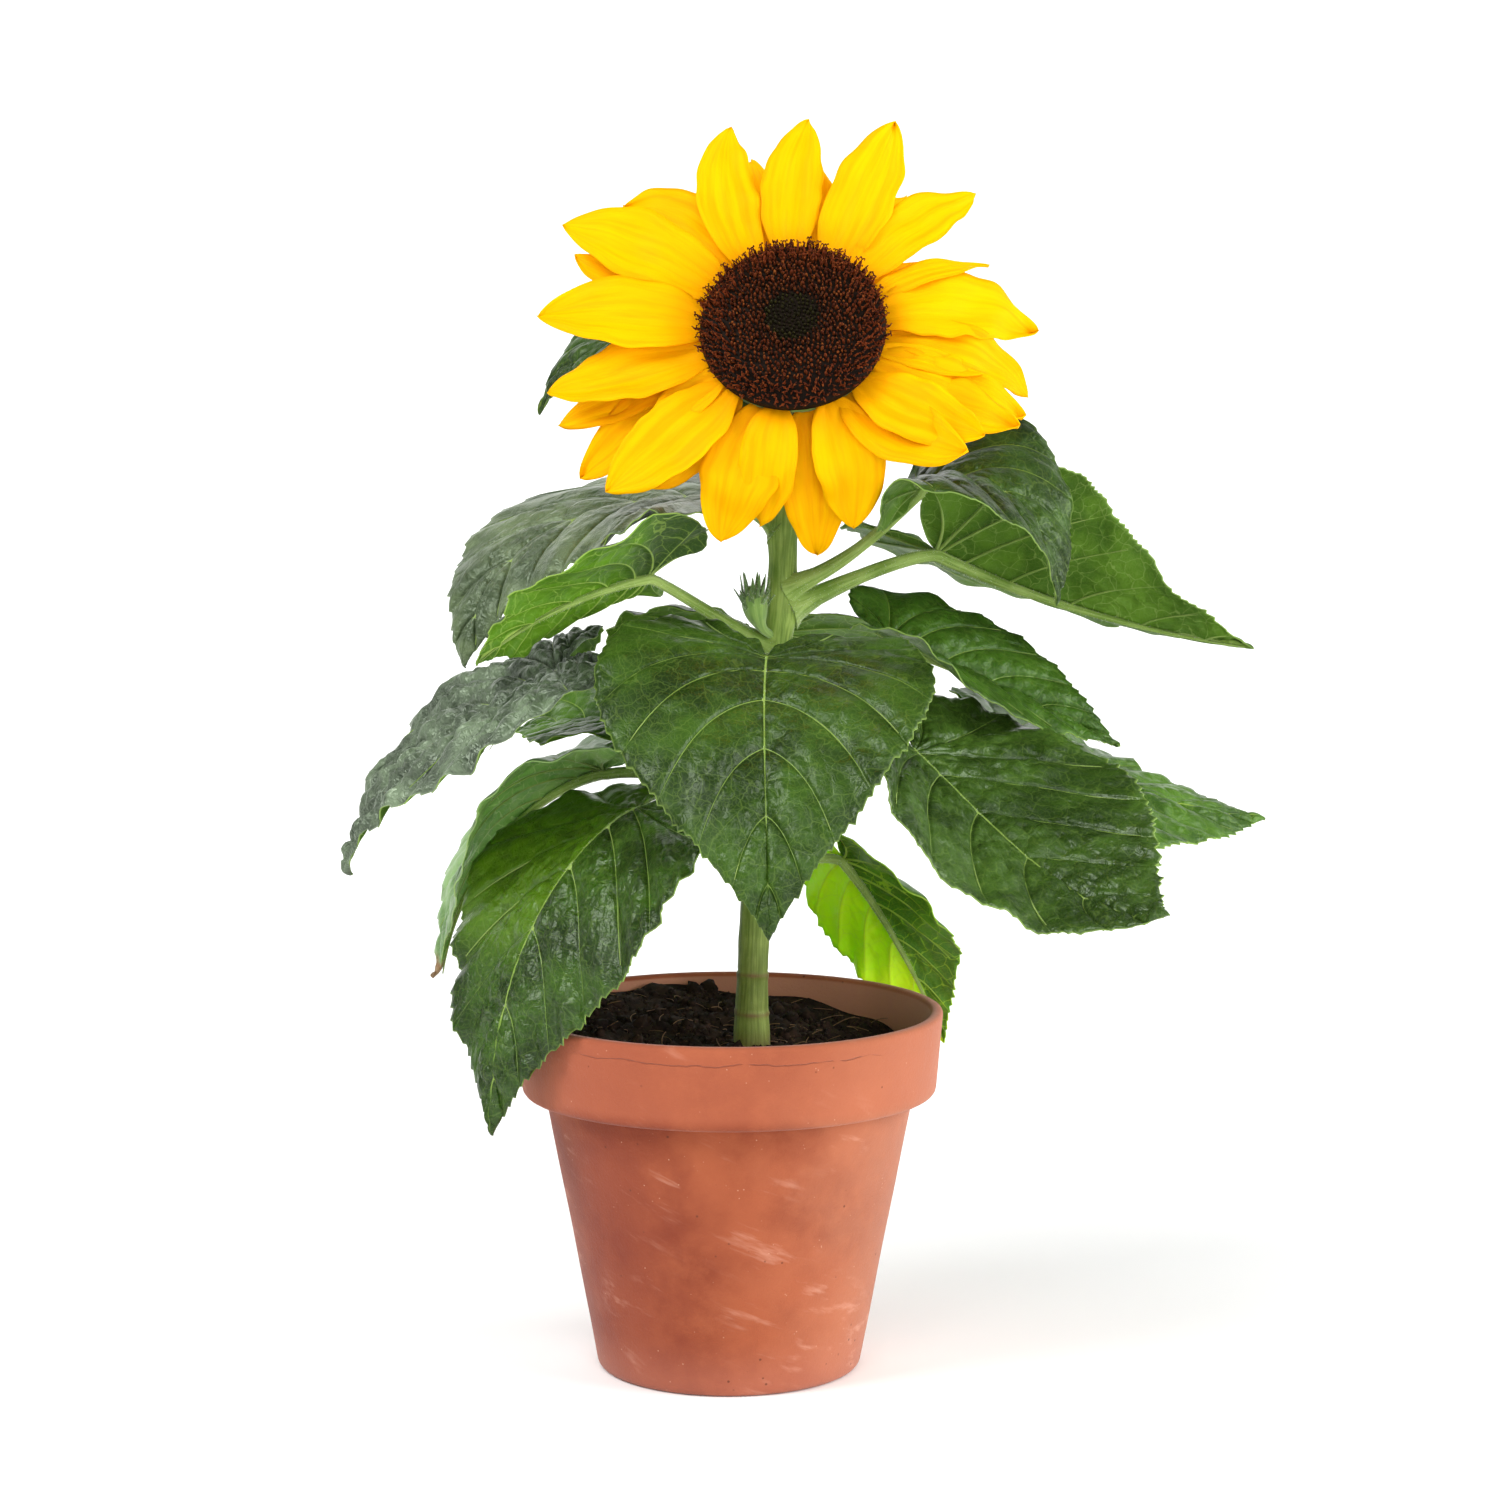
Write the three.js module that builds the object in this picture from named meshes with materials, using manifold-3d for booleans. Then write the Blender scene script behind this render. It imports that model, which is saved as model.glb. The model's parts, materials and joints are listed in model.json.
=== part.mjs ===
// A potted sunflower: one stem with sixteen stalked leaves, a side bud and a flower head, in a clay pot.
// Millimetres, +Z up. The origin is the centre of the pot's flat underside, and -Y is the plant's front.
import * as THREE from 'three';
import { mergeVertices } from 'three/addons/utils/BufferGeometryUtils.js';
import Module from 'manifold-3d';

const wasm = await Module();
wasm.setup();

// ---------------------------------------------------------------- driving dimensions
const GAP = 0.3; // clearance between pieces that touch
const POT_HEIGHT = 143.8;
const POT_RIM_R = 85; // outside of the rim at its top
const POT_BAND_Z = 110.7; // lower edge of the rim band
const POT_BAND_R = 81.9;
const POT_NECK_R = 73; // body just under the rim band
const POT_BASE_R = 51.8;
const POT_FLOOR = 9;
const POT_SIDES = 44;
const SOIL_FOOT_Z = 128; // soil level where the stem stands
const SOIL_MOUND = 11; // how far the soil rises towards the back left, and falls to the front right
const STEM_SIDES = 10;
const STALK_SIDES = 6;
const BLADE_THICK = 1.2;
const PETAL_THICK = 1.0;
const HEAD_AT = [24.5, -35, 412]; // middle of the seed disc
const HEAD_TILT = 31; // degrees that the head looks up
const HEAD_YAW = -4; // degrees that it looks to its left
const DISC_R = 36.5;
const DISC_RISE = 8;
const CALYX_DEPTH = 26;

// Centre line of the stem, [x, y, z], and its radius at the same places.
const STEM_LINE = [
  [9, 0, 128], [9, 0, 150], [11, 1, 200], [15, 2, 250], [20, 3, 300], [22, 4, 335], [23, 2, 365], [24, -8, 392],
];
const STEM_R = [7.4, 6, 6, 6.2, 5.8, 5.2, 5.2, 5.6];
const STEM_NECK_R = 6.6;

// One row per leaf. at: height on the stem; heading: 0 is +X and 90 is the back; sway: how far the stalk
// turns; stalk: its length; rise: its slope at both ends; blade: length and half width; hang: slope at the
// blade's foot, change of slope to the tip, and how late it comes; turn: how the midrib bends sideways;
// lean: roll at the foot and twist to the tip; fold and curl: of the left and right halves; wave: height
// and phase of the ripple along the edge.
const LEAVES = {
  front: {
    at: 265, heading: -91, sway: -2, stalk: 60, rise: [42, 4], blade: [132, 63], hang: [-16, -69, 1],
    turn: 9, lean: [5, -16], fold: [12, 15], curl: [-12, -23], wave: [0, 0],
  },
  low_left: {
    at: 204.5, heading: 210, sway: -8, stalk: 57, rise: [44, 3], blade: [147, 67], hang: [-17, -75, 0.6],
    turn: 1, lean: [-1, 28], fold: [-13, -12], curl: [7, 25], wave: [0, 0],
  },
  low_left_back: {
    at: 227.5, heading: 150, sway: 5, stalk: 72, rise: [12, 0], blade: [121, 55], hang: [-12, -72, 0.8],
    turn: 36, lean: [-2, 13], fold: [16, 18], curl: [-16, -8], wave: [0, 0],
  },
  left: {
    at: 251, heading: 182, sway: -1, stalk: 87, rise: [34, 3], blade: [123, 50], hang: [-25, -42, 1.3],
    turn: -14, lean: [16, 8], fold: [12, 8], curl: [-15, -16], wave: [4, 0.2],
  },
  upper_left: {
    at: 331, heading: 169, sway: 0, stalk: 29, rise: [42, 19], blade: [137, 62], hang: [-1, -86, 1.7],
    turn: 50, lean: [10, 12], fold: [5, -2], curl: [6, -9], wave: [1.5, 0],
  },
  left_stalked: {
    at: 285, heading: 186, sway: 29, stalk: 61, rise: [30, 33], blade: [80, 43.5], hang: [-6, -37, 0.87],
    turn: -51, lean: [-4, 7], fold: [29, -42], curl: [0, 64], wave: [3, 0.1],
  },
  right_big: {
    at: 300, heading: 20, sway: 5, stalk: 71, rise: [25, 14], blade: [140, 69], hang: [-25, 21, 1.3],
    turn: -65, lean: [22, 15], fold: [22, 18], curl: [0, 0], wave: [0, 0],
  },
  upper_right: {
    at: 309, heading: -20, sway: -7, stalk: 70, rise: [20, 51], blade: [90, 41], hang: [58, -150, 0.6],
    turn: 9, lean: [-3, 13], fold: [26, 0], curl: [5, -10], wave: [3, -0.2],
  },
  right_folded: {
    at: 268, heading: 9, sway: -1, stalk: 51, rise: [41, 11], blade: [104, 39], hang: [-21, -8, 0.7],
    turn: -8, lean: [-28, -29], fold: [21, 33], curl: [-45, 0], wave: [1, 0],
  },
  low_right: {
    at: 230, heading: -30, sway: -8, stalk: 74, rise: [35, -1], blade: [156, 64], hang: [-36, 54, 2],
    turn: -27, lean: [6, -39], fold: [7, 4], curl: [16, 32], wave: [0, 0],
  },
  right_back: {
    at: 241, heading: 16, sway: 3, stalk: 104, rise: [16, -7], blade: [126, 50], hang: [-29, 21, 1.1],
    turn: 7, lean: [-20, -8], fold: [-3, -5], curl: [0, 0], wave: [2, 0],
  },
  back_low: {
    at: 196, heading: 48, sway: -10, stalk: 48, rise: [14, -6], blade: [106, 33], hang: [-44, -13, 0.4],
    turn: 17, lean: [4, 34], fold: [0, 0], curl: [0, -22], wave: [0, 0],
  },
  top_left_back: {
    at: 378, heading: 154, sway: 3, stalk: 53, rise: [46, 27], blade: [78, 33], hang: [8, -73, 1.1],
    turn: 6, lean: [26, 12], fold: [5, 11], curl: [-20, -17], wave: [2, 0],
  },
  back_left: {
    at: 251, heading: 132, sway: 8, stalk: 70, rise: [9, -4], blade: [74, 36], hang: [-3, -12, 1],
    turn: 0, lean: [13, 7], fold: [5, 24], curl: [0, 0], wave: [1, 0],
  },
  back: {
    at: 264, heading: 95, sway: 3, stalk: 64, rise: [38, 5], blade: [128, 58], hang: [-20, -58, 1],
    turn: -8, lean: [-4, 8], fold: [12, 12], curl: [-18, -20], wave: [3, 0.1],
  },
  back_upper: {
    at: 338, heading: 78, sway: 0, stalk: 40, rise: [42, 20], blade: [92, 42], hang: [12, -58, 1.1],
    turn: 6, lean: [6, 8], fold: [8, 10], curl: [-18, -18], wave: [2, 0],
  },
};

// One row per petal, in the head's own frame: angle round the disc (90 is up), how far it bends round,
// slope out of the disc's plane at the foot and at the tip, length, half width, and 1 for the back whorl.
const PETALS = [
  [147, 22, 12, -4, 70, 13.5, 0], [128, 31, 7, -27, 65, 13, 1], [119, -43, 9, 0, 65, 11, 0],
  [103, 0, -2, -28, 61, 8, 1], [94, -21, 9, -3, 63, 11, 0], [82, 6, 2, -15, 46, 7, 1],
  [66, 3, 15, 7, 64, 12.5, 0], [59, 10, -5, -39, 59, 9, 1], [47, -13, 13, -26, 63, 11, 0],
  [29, -21, 11, -21, 50, 5, 0], [32, 9, -3, -38, 38, 7, 1], [14, -25, 10, -51, 67, 14, 0],
  [-1, -30, 12, -60, 68, 9, 1], [-12, 0, 3, -15, 42, 5, 0], [-20, 10, 1, -31, 63, 11.5, 0],
  [-28, 21, 4, -6, 62, 11, 1], [-39, 23, 13, 4, 56, 12, 0], [-48, 34, 9, 12, 56, 13, 1],
  [-64, -35, -2, -67, 52, 13, 0], [-80, -14, -14, -69, 58, 12, 1], [-99, 0, 2, -72, 48, 11, 0],
  [-109, 0, -4, -50, 55, 13.5, 1], [-132, -29, -14, -61, 52, 12.5, 1], [-134, -13, 0, -20, 63, 13, 0],
  [-150, -4, -8, -46, 70, 12, 1], [-165, -8, 1, -19, 65, 13, 0], [-161, -7, -8, -30, 66, 9, 1],
  [174, 9, 15, -12, 67, 14.5, 0], [158, -5, 3, -8, 62, 11.5, 1],
];
const PETAL_FOOT_R = 32;
const WHORL_DEPTH = [-5.4, -7.8]; // foot of the front and the back petals, behind the disc's rim
const PLATE_TOP = -4.4; // top of the plate that the petals grow from

// ---------------------------------------------------------------- small helpers
const rad = (degrees) => (degrees * Math.PI) / 180;
const mix = (a, b, t) => a + (b - a) * t;
const vec = (x, y, z) => new THREE.Vector3(x, y, z);
const clamp = (x, low, high) => Math.min(high, Math.max(low, x));

function direction(heading, slope) {
  const h = rad(heading);
  const s = rad(slope);
  return vec(Math.cos(s) * Math.cos(h), Math.cos(s) * Math.sin(h), Math.sin(s));
}

function bezier(points, t) {
  if (points.length === 1) return points[0];
  const next = [];
  for (let i = 1; i < points.length; i += 1) {
    next.push(points[i].map((value, axis) => mix(points[i - 1][axis], value, t)));
  }
  return bezier(next, t);
}

// Collects triangles, joins equal points and leaves out the ones with no area.
class Skin {
  constructor() {
    this.points = [];
    this.lookup = new Map();
    this.faces = [];
  }

  point(p) {
    const key = [p.x, p.y, p.z].map((v) => Math.round(v * 1000)).join();
    if (!this.lookup.has(key)) {
      this.lookup.set(key, this.points.length);
      this.points.push(p.clone());
    }
    return this.lookup.get(key);
  }

  face(a, b, c) {
    if (a !== b && b !== c && c !== a) this.faces.push([a, b, c]);
  }

  quad(a, b, c, d) {
    this.face(a, b, c);
    this.face(a, c, d);
  }

  grid(rows, flip = false) {
    const index = rows.map((row) => row.map((p) => this.point(p)));
    for (let i = 1; i < rows.length; i += 1) {
      for (let j = 1; j < rows[i].length; j += 1) {
        const [a, b, c, d] = [index[i - 1][j - 1], index[i - 1][j], index[i][j], index[i][j - 1]];
        if (flip) this.quad(d, c, b, a);
        else this.quad(a, b, c, d);
      }
    }
  }

  normals() {
    const sums = this.points.map(() => vec(0, 0, 0));
    for (const [a, b, c] of this.faces) {
      const u = this.points[b].clone().sub(this.points[a]);
      const v = this.points[c].clone().sub(this.points[a]);
      const n = u.cross(v);
      for (const k of [a, b, c]) sums[k].add(n);
    }
    return sums.map((n) => n.normalize());
  }

  geometry() {
    const geometry = new THREE.BufferGeometry();
    const flat = this.points.flatMap((p) => [p.x, p.y, p.z]);
    geometry.setAttribute('position', new THREE.Float32BufferAttribute(flat, 3));
    geometry.setIndex(this.faces.flat());
    geometry.computeVertexNormals();
    return geometry;
  }
}

// A thin solid round an open sheet: the sheet is offset both ways and closed along its edge.
function thicken(sheet, thickness) {
  const normals = sheet.normals();
  const count = sheet.points.length;
  const solid = new Skin();
  solid.points = [
    ...sheet.points.map((p, i) => p.clone().addScaledVector(normals[i], thickness / 2)),
    ...sheet.points.map((p, i) => p.clone().addScaledVector(normals[i], -thickness / 2)),
  ];
  const edges = new Set();
  for (const [a, b, c] of sheet.faces) {
    solid.face(a, b, c);
    solid.face(count + c, count + b, count + a);
    for (const [p, q] of [[a, b], [b, c], [c, a]]) edges.add(`${p},${q}`);
  }
  for (const edge of edges) {
    const [p, q] = edge.split(',').map(Number);
    if (!edges.has(`${q},${p}`)) solid.quad(q, p, count + p, count + q);
  }
  return solid.geometry();
}

// A limb of round section along a line of points. Its foot and tip are flat, or cut as the last two say.
function limb(line, radii, sides, cutFoot = null, cutTip = null) {
  const skin = new Skin();
  const rings = [];
  let across = null;
  for (let i = 0; i < line.length; i += 1) {
    const ahead = line[Math.min(i + 1, line.length - 1)].clone().sub(line[Math.max(i - 1, 0)]).normalize();
    if (!across) across = vec(0, 0, 1).cross(ahead).lengthSq() > 0.02 ? vec(0, 0, 1) : vec(0, 1, 0);
    across = across.clone().addScaledVector(ahead, -across.dot(ahead)).normalize();
    const other = ahead.clone().cross(across);
    const ring = [];
    for (let k = 0; k <= sides; k += 1) {
      const turn = (2 * Math.PI * (k % sides)) / sides;
      const p = line[i].clone().addScaledVector(across, radii[i] * Math.cos(turn));
      ring.push(p.addScaledVector(other, radii[i] * Math.sin(turn)));
    }
    rings.push(ring);
  }
  const last = rings.length - 1;
  if (cutFoot) rings[0] = rings[0].map(cutFoot);
  if (cutTip) rings[last] = rings[last].map(cutTip);
  const middle = (ring) => {
    const sum = vec(0, 0, 0);
    ring.slice(1).forEach((p) => sum.add(p));
    return sum.divideScalar(ring.length - 1);
  };
  const foot = rings[0].map(() => middle(rings[0]));
  const tip = rings[0].map(() => middle(rings[last]));
  skin.grid([foot, ...rings, tip]);
  return skin.geometry();
}

// A turned solid: the profile is [radius, height] from the axis back to the axis, anticlockwise.
function turned(profile, sides) {
  const points = profile.map(([r, z]) => new THREE.Vector2(r, z));
  const lathe = new THREE.LatheGeometry(points, sides);
  lathe.rotateX(Math.PI / 2);
  return lathe;
}

function solidOf(geometry) {
  const bare = geometry.clone();
  bare.deleteAttribute('normal');
  if (bare.attributes.uv) bare.deleteAttribute('uv');
  const merged = mergeVertices(bare, 1e-3);
  const index = Array.from(merged.index.array);
  const triVerts = [];
  for (let i = 0; i < index.length; i += 3) {
    const [a, b, c] = index.slice(i, i + 3);
    if (a !== b && b !== c && c !== a) triVerts.push(a, b, c);
  }
  const vertProperties = Float32Array.from(merged.attributes.position.array);
  return new wasm.Manifold(new wasm.Mesh({ numProp: 3, vertProperties, triVerts: Uint32Array.from(triVerts) }));
}

function geometryOf(solid) {
  const mesh = solid.getMesh();
  const geometry = new THREE.BufferGeometry();
  geometry.setAttribute('position', new THREE.Float32BufferAttribute(mesh.vertProperties, 3));
  geometry.setIndex(Array.from(mesh.triVerts));
  geometry.computeVertexNormals();
  return geometry;
}

function piece(name, geometry, colour, roughness) {
  const material = new THREE.MeshStandardMaterial({ color: colour, roughness, metalness: 0 });
  const mesh = new THREE.Mesh(geometry, material);
  mesh.name = name;
  return mesh;
}

// ---------------------------------------------------------------- pot and soil
const POT_INSIDE = [[45.8, POT_FLOOR], [66.5, 107], [76.5, 113], [78.4, POT_HEIGHT - 1.5]];

function potInnerRadius(z) {
  for (let i = 1; i < POT_INSIDE.length; i += 1) {
    const [r0, z0] = POT_INSIDE[i - 1];
    const [r1, z1] = POT_INSIDE[i];
    if (z <= z1) return mix(r0, r1, (z - z0) / (z1 - z0));
  }
  return POT_INSIDE[POT_INSIDE.length - 1][0];
}

function pot() {
  const profile = [
    [0, 0], [POT_BASE_R - 1.6, 0], [POT_BASE_R, 1.8], [POT_NECK_R, POT_BAND_Z],
    [POT_BAND_R - 1, POT_BAND_Z], [POT_BAND_R, POT_BAND_Z + 1.2],
    [POT_RIM_R, POT_HEIGHT - 2], [POT_RIM_R - 1.6, POT_HEIGHT], [80.2, POT_HEIGHT],
    ...[...POT_INSIDE].reverse(), [0, POT_FLOOR],
  ];
  return turned(profile, POT_SIDES);
}

function soilHeight(x, y) {
  const [footX, footY] = STEM_LINE[0];
  const away = clamp((Math.hypot(x - footX, y - footY) - 12) / 30, 0, 1);
  const slope = (-0.62 * x + 0.78 * y) / 76;
  const clods = 1.6 * Math.sin(x / 9 + 1) * Math.sin(y / 8 + 2);
  return SOIL_FOOT_Z + away * (SOIL_MOUND * slope + clods);
}

function soil() {
  const skin = new Skin();
  const [footX, footY] = STEM_LINE[0];
  const foot = POT_FLOOR + GAP;
  const rows = [[0, foot], [POT_INSIDE[0][0] - GAP, foot], [POT_INSIDE[1][0] - GAP, 107], [POT_INSIDE[2][0] - GAP, 113.3]];
  const rings = rows.map(([r, z]) => {
    const ring = [];
    for (let k = 0; k <= POT_SIDES; k += 1) {
      const a = (2 * Math.PI * (k % POT_SIDES)) / POT_SIDES;
      ring.push(vec(r * Math.cos(a), r * Math.sin(a), z));
    }
    return ring;
  });
  for (const reach of [1, 0.82, 0.6, 0.38, 0.17, 0]) {
    const ring = [];
    for (let k = 0; k <= POT_SIDES; k += 1) {
      const a = (2 * Math.PI * (k % POT_SIDES)) / POT_SIDES;
      const wall = potInnerRadius(soilHeight(77 * Math.cos(a), 77 * Math.sin(a))) - GAP;
      const x = mix(footX, wall * Math.cos(a), reach);
      const y = mix(footY, wall * Math.sin(a), reach);
      const z = reach === 1 ? soilHeight(77 * Math.cos(a), 77 * Math.sin(a)) : soilHeight(x, y);
      ring.push(vec(x, y, reach < 0.2 ? SOIL_FOOT_Z : z));
    }
    rings.push(ring);
  }
  skin.grid(rings);
  return skin.geometry();
}

// ---------------------------------------------------------------- stem
const headTurn = (() => {
  const [t, y] = [rad(HEAD_TILT), rad(HEAD_YAW)];
  const normal = vec(Math.sin(y) * Math.cos(t), -Math.cos(y) * Math.cos(t), Math.sin(t));
  const right = vec(Math.cos(y), Math.sin(y), 0);
  const up = normal.clone().cross(right);
  return new THREE.Matrix4().makeBasis(right, up, normal);
})();

function headPoint(x, y, z) {
  return vec(x, y, z).applyMatrix4(headTurn).add(vec(...HEAD_AT));
}

function stemAt(z) {
  for (let i = 1; i < STEM_LINE.length; i += 1) {
    const [x0, y0, z0] = STEM_LINE[i - 1];
    const [x1, y1, z1] = STEM_LINE[i];
    const t = clamp((z - z0) / (z1 - z0), 0, 1);
    if (z <= z1) return { at: vec(mix(x0, x1, t), mix(y0, y1, t), z), r: mix(STEM_R[i - 1], STEM_R[i], t) };
  }
  return null;
}

function stem() {
  const line = STEM_LINE.map(([x, y, z]) => vec(x, y, z));
  line[0].z = SOIL_FOOT_Z + GAP;
  line.push(headPoint(0, 0, -CALYX_DEPTH - GAP));
  const level = (p) => vec(p.x, p.y, SOIL_FOOT_Z + GAP);
  const neck = line[line.length - 1];
  const facing = headPoint(0, 0, 1).sub(headPoint(0, 0, 0));
  const ahead = neck.clone().sub(line[line.length - 2]).normalize();
  const square = (p) => p.clone().addScaledVector(ahead, neck.clone().sub(p).dot(facing) / ahead.dot(facing));
  return limb(line, [...STEM_R, STEM_NECK_R], STEM_SIDES, level, square);
}

// ---------------------------------------------------------------- leaves
const LOBE_SHARE = 0.4; // share of the outline, from the stalk, that goes round the heart-shaped lobe
const STATIONS = 24;

// Half of the flat blade's outline: x in half widths, y in blade lengths, q from the stalk to the tip.
function outline(q) {
  const lobe = [[0, 0], [0.3, -0.3], [1, -0.17], [1, 0.22]];
  const flank = [[1, 0.22], [1, 0.5], [0.26, 0.76], [0, 1]];
  if (q < LOBE_SHARE) return bezier(lobe, q / LOBE_SHARE);
  return bezier(flank, (q - LOBE_SHARE) / (1 - LOBE_SHARE));
}

// A side vein runs from the midrib, at t = 0, to the outline, at t = 1.
function veinPoint(q, t) {
  const edge = outline(q);
  const start = clamp((q - 0.26) / 0.74, 0, 1) ** 1.25;
  return bezier([[0, start], [0.62 * edge[0], mix(start, edge[1], 0.3)], edge], t);
}

function sweep(start, heading, slope, length) {
  const points = [start.clone()];
  const ahead = [direction(heading(0), slope(0))];
  for (let i = 1; i <= STATIONS; i += 1) {
    ahead.push(direction(heading(i / STATIONS), slope(i / STATIONS)));
    const step = ahead[i - 1].clone().add(ahead[i]).normalize();
    points.push(points[i - 1].clone().addScaledVector(step, length / STATIONS));
  }
  return { points, ahead };
}

function leafLines(leaf) {
  const root = stemAt(leaf.at);
  const stalk = sweep(root.at, (s) => leaf.heading + leaf.sway * s, (s) => mix(...leaf.rise, s), leaf.stalk);
  const heading = (s) => leaf.heading + leaf.sway + leaf.turn * s;
  const slope = (s) => leaf.hang[0] + leaf.hang[1] * s ** leaf.hang[2];
  const rib = sweep(stalk.points[STATIONS], heading, slope, leaf.blade[0]);
  const frames = rib.ahead.map((ahead, i) => {
    const s = i / STATIONS;
    const side = direction(heading(s) - 90, 0);
    const up = side.clone().cross(ahead);
    const roll = rad(leaf.lean[0] + leaf.lean[1] * s);
    const right = side.clone().multiplyScalar(Math.cos(roll)).addScaledVector(up, Math.sin(roll));
    const above = up.multiplyScalar(Math.cos(roll)).addScaledVector(side, -Math.sin(roll));
    return { ahead, right, above };
  });
  return { root, stalk, rib, frames };
}

function bladePoint(leaf, lines, q, t, hand) {
  const [across, along] = veinPoint(q, t);
  const [length, halfWidth] = leaf.blade;
  const which = hand > 0 ? 1 : 0;
  const place = clamp(along, 0, 1) * STATIONS;
  const i = Math.min(Math.floor(place), STATIONS - 1);
  const between = (a, b) => a.clone().lerp(b, place - i);
  const centre = between(lines.rib.points[i], lines.rib.points[i + 1]);
  const ahead = between(lines.frames[i].ahead, lines.frames[i + 1].ahead);
  const right = between(lines.frames[i].right, lines.frames[i + 1].right);
  const above = between(lines.frames[i].above, lines.frames[i + 1].above);
  centre.addScaledVector(ahead, Math.min(along, 0) * length);
  const x = across * halfWidth;
  const start = rad(leaf.fold[which]);
  const bend = rad(leaf.curl[which]) / halfWidth;
  const flat = Math.abs(bend) < 1e-9;
  const reach = flat ? x * Math.cos(start) : (Math.sin(start + bend * x) - Math.sin(start)) / bend;
  const lift = flat ? x * Math.sin(start) : (Math.cos(start) - Math.cos(start + bend * x)) / bend;
  const phase = 2 * Math.PI * (1.5 * along + leaf.wave[1] + (hand > 0 ? 0.25 : 0));
  const ripple = leaf.wave[0] * across ** 2 * Math.sin(phase);
  return centre.addScaledVector(right, hand * reach).addScaledVector(above, lift + ripple);
}

function blade(leaf) {
  const lines = leafLines(leaf);
  const rows = [0, 0.1, 0.2, 0.3, 0.4, 0.52, 0.64, 0.76, 0.88, 1];
  const columns = [0, 0.35, 0.7, 1];
  const sheet = new Skin();
  for (const hand of [1, -1]) {
    sheet.grid(rows.map((q) => columns.map((t) => bladePoint(leaf, lines, q, t, hand))), hand < 0);
  }
  return thicken(sheet, BLADE_THICK);
}

// The stalk starts on the stem's flank and ends just under the foot of the blade.
function stalk(leaf) {
  const { root, stalk: line, frames } = leafLines(leaf);
  const girth = 1.6 + leaf.blade[1] / 45;
  const under = frames[0].above.clone().negate();
  const dip = Math.max(0, -Math.sin(rad(Math.min(...leaf.fold)))); // how far a drooping half reaches down
  const depth = girth * 0.8 * (line.ahead[STATIONS].dot(frames[0].ahead) + dip) + BLADE_THICK / 2 + 0.5;
  const out = direction(leaf.heading, 0);
  const first = (root.r + GAP) / Math.cos(rad(leaf.rise[0])) / leaf.stalk;
  const points = [];
  const radii = [];
  for (const u of [0, 0.12, 0.3, 0.5, 0.7, 0.87, 1]) {
    const s = mix(first, 1, u);
    const i = Math.min(Math.floor(s * STATIONS), STATIONS - 1);
    const p = line.points[i].clone().lerp(line.points[i + 1], s * STATIONS - i);
    points.push(p.addScaledVector(under, u ** 6 * depth));
    radii.push(girth * mix(1.25, 0.8, Math.min(1, u * 3)));
  }
  const onFlank = (p) => {
    const moved = p.clone();
    for (let k = 0; k < 4; k += 1) {
      const here = stemAt(moved.z);
      const short = here.r + GAP - moved.clone().sub(here.at).dot(out);
      moved.addScaledVector(line.ahead[0], short / line.ahead[0].dot(out));
    }
    return moved;
  };
  return limb(points, radii, STALK_SIDES, onFlank);
}

// ---------------------------------------------------------------- flower head, in its own frame
function petalPoint([angle, bend, slope0, slope1, length, halfWidth, whorl], s, x) {
  const steps = 16;
  const heading = (u) => rad(angle + bend * u ** 1.3);
  const ahead = (u) => {
    const slope = rad(mix(slope0, slope1, u ** 1.2));
    const a = heading(u);
    return vec(Math.cos(slope) * Math.cos(a), Math.cos(slope) * Math.sin(a), Math.sin(slope));
  };
  const foot = rad(angle);
  const at = vec(PETAL_FOOT_R * Math.cos(foot), PETAL_FOOT_R * Math.sin(foot), WHORL_DEPTH[whorl]);
  for (let i = 0; i < steps; i += 1) {
    const u = (i + 0.5) / steps;
    const part = clamp(s * steps - i, 0, 1);
    at.addScaledVector(ahead(u), (part * length) / steps);
  }
  const along = ahead(s);
  const side = vec(-Math.sin(heading(s)), Math.cos(heading(s)), 0);
  side.addScaledVector(along, -side.dot(along)).normalize();
  const above = along.clone().cross(side);
  const width = (halfWidth * (s + 0.06) ** 0.75 * (1 - s) ** 0.6) / 0.43;
  const trough = 0.11 * width * x ** 2;
  return at.addScaledVector(side, x * width).addScaledVector(above, trough);
}

function petal(row) {
  const sheet = new Skin();
  const rows = [0, 0.2, 0.45, 0.7, 0.88, 0.97, 1];
  sheet.grid(rows.map((s) => [-1, 0, 1].map((x) => petalPoint(row, s, x))), true);
  return thicken(sheet, PETAL_THICK);
}

// All petals grow from one thin plate between the seed disc and the green cup.
function petalRing() {
  const low = WHORL_DEPTH[1] - 1.2;
  const plate = [[0, low], [33, low], [34, low + 1.2], [33.4, PLATE_TOP], [0, PLATE_TOP]];
  let ring = solidOf(turned(plate, 30));
  for (const row of PETALS) ring = ring.add(solidOf(petal(row)));
  return geometryOf(ring.simplify(0.05));
}

function seedDisc() {
  const low = PLATE_TOP + GAP;
  const profile = [[0, low], [30, low], [DISC_R - 1, -0.8], [DISC_R, 0.8], [DISC_R - 1.5, 3.2]];
  for (const r of [27, 18, 9, 0]) profile.push([r, DISC_RISE * (1 - (r / DISC_R) ** 2.6) - (r < 10 ? 1.5 : 0)]);
  return turned(profile, 30);
}

function calyx() {
  const top = WHORL_DEPTH[1] - 1.2 - GAP;
  const profile = [[0, -CALYX_DEPTH], [7, -CALYX_DEPTH], [17, -22], [27, -16], [33, -10.5], [32, top], [0, top]];
  return turned(profile, 26);
}

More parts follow.
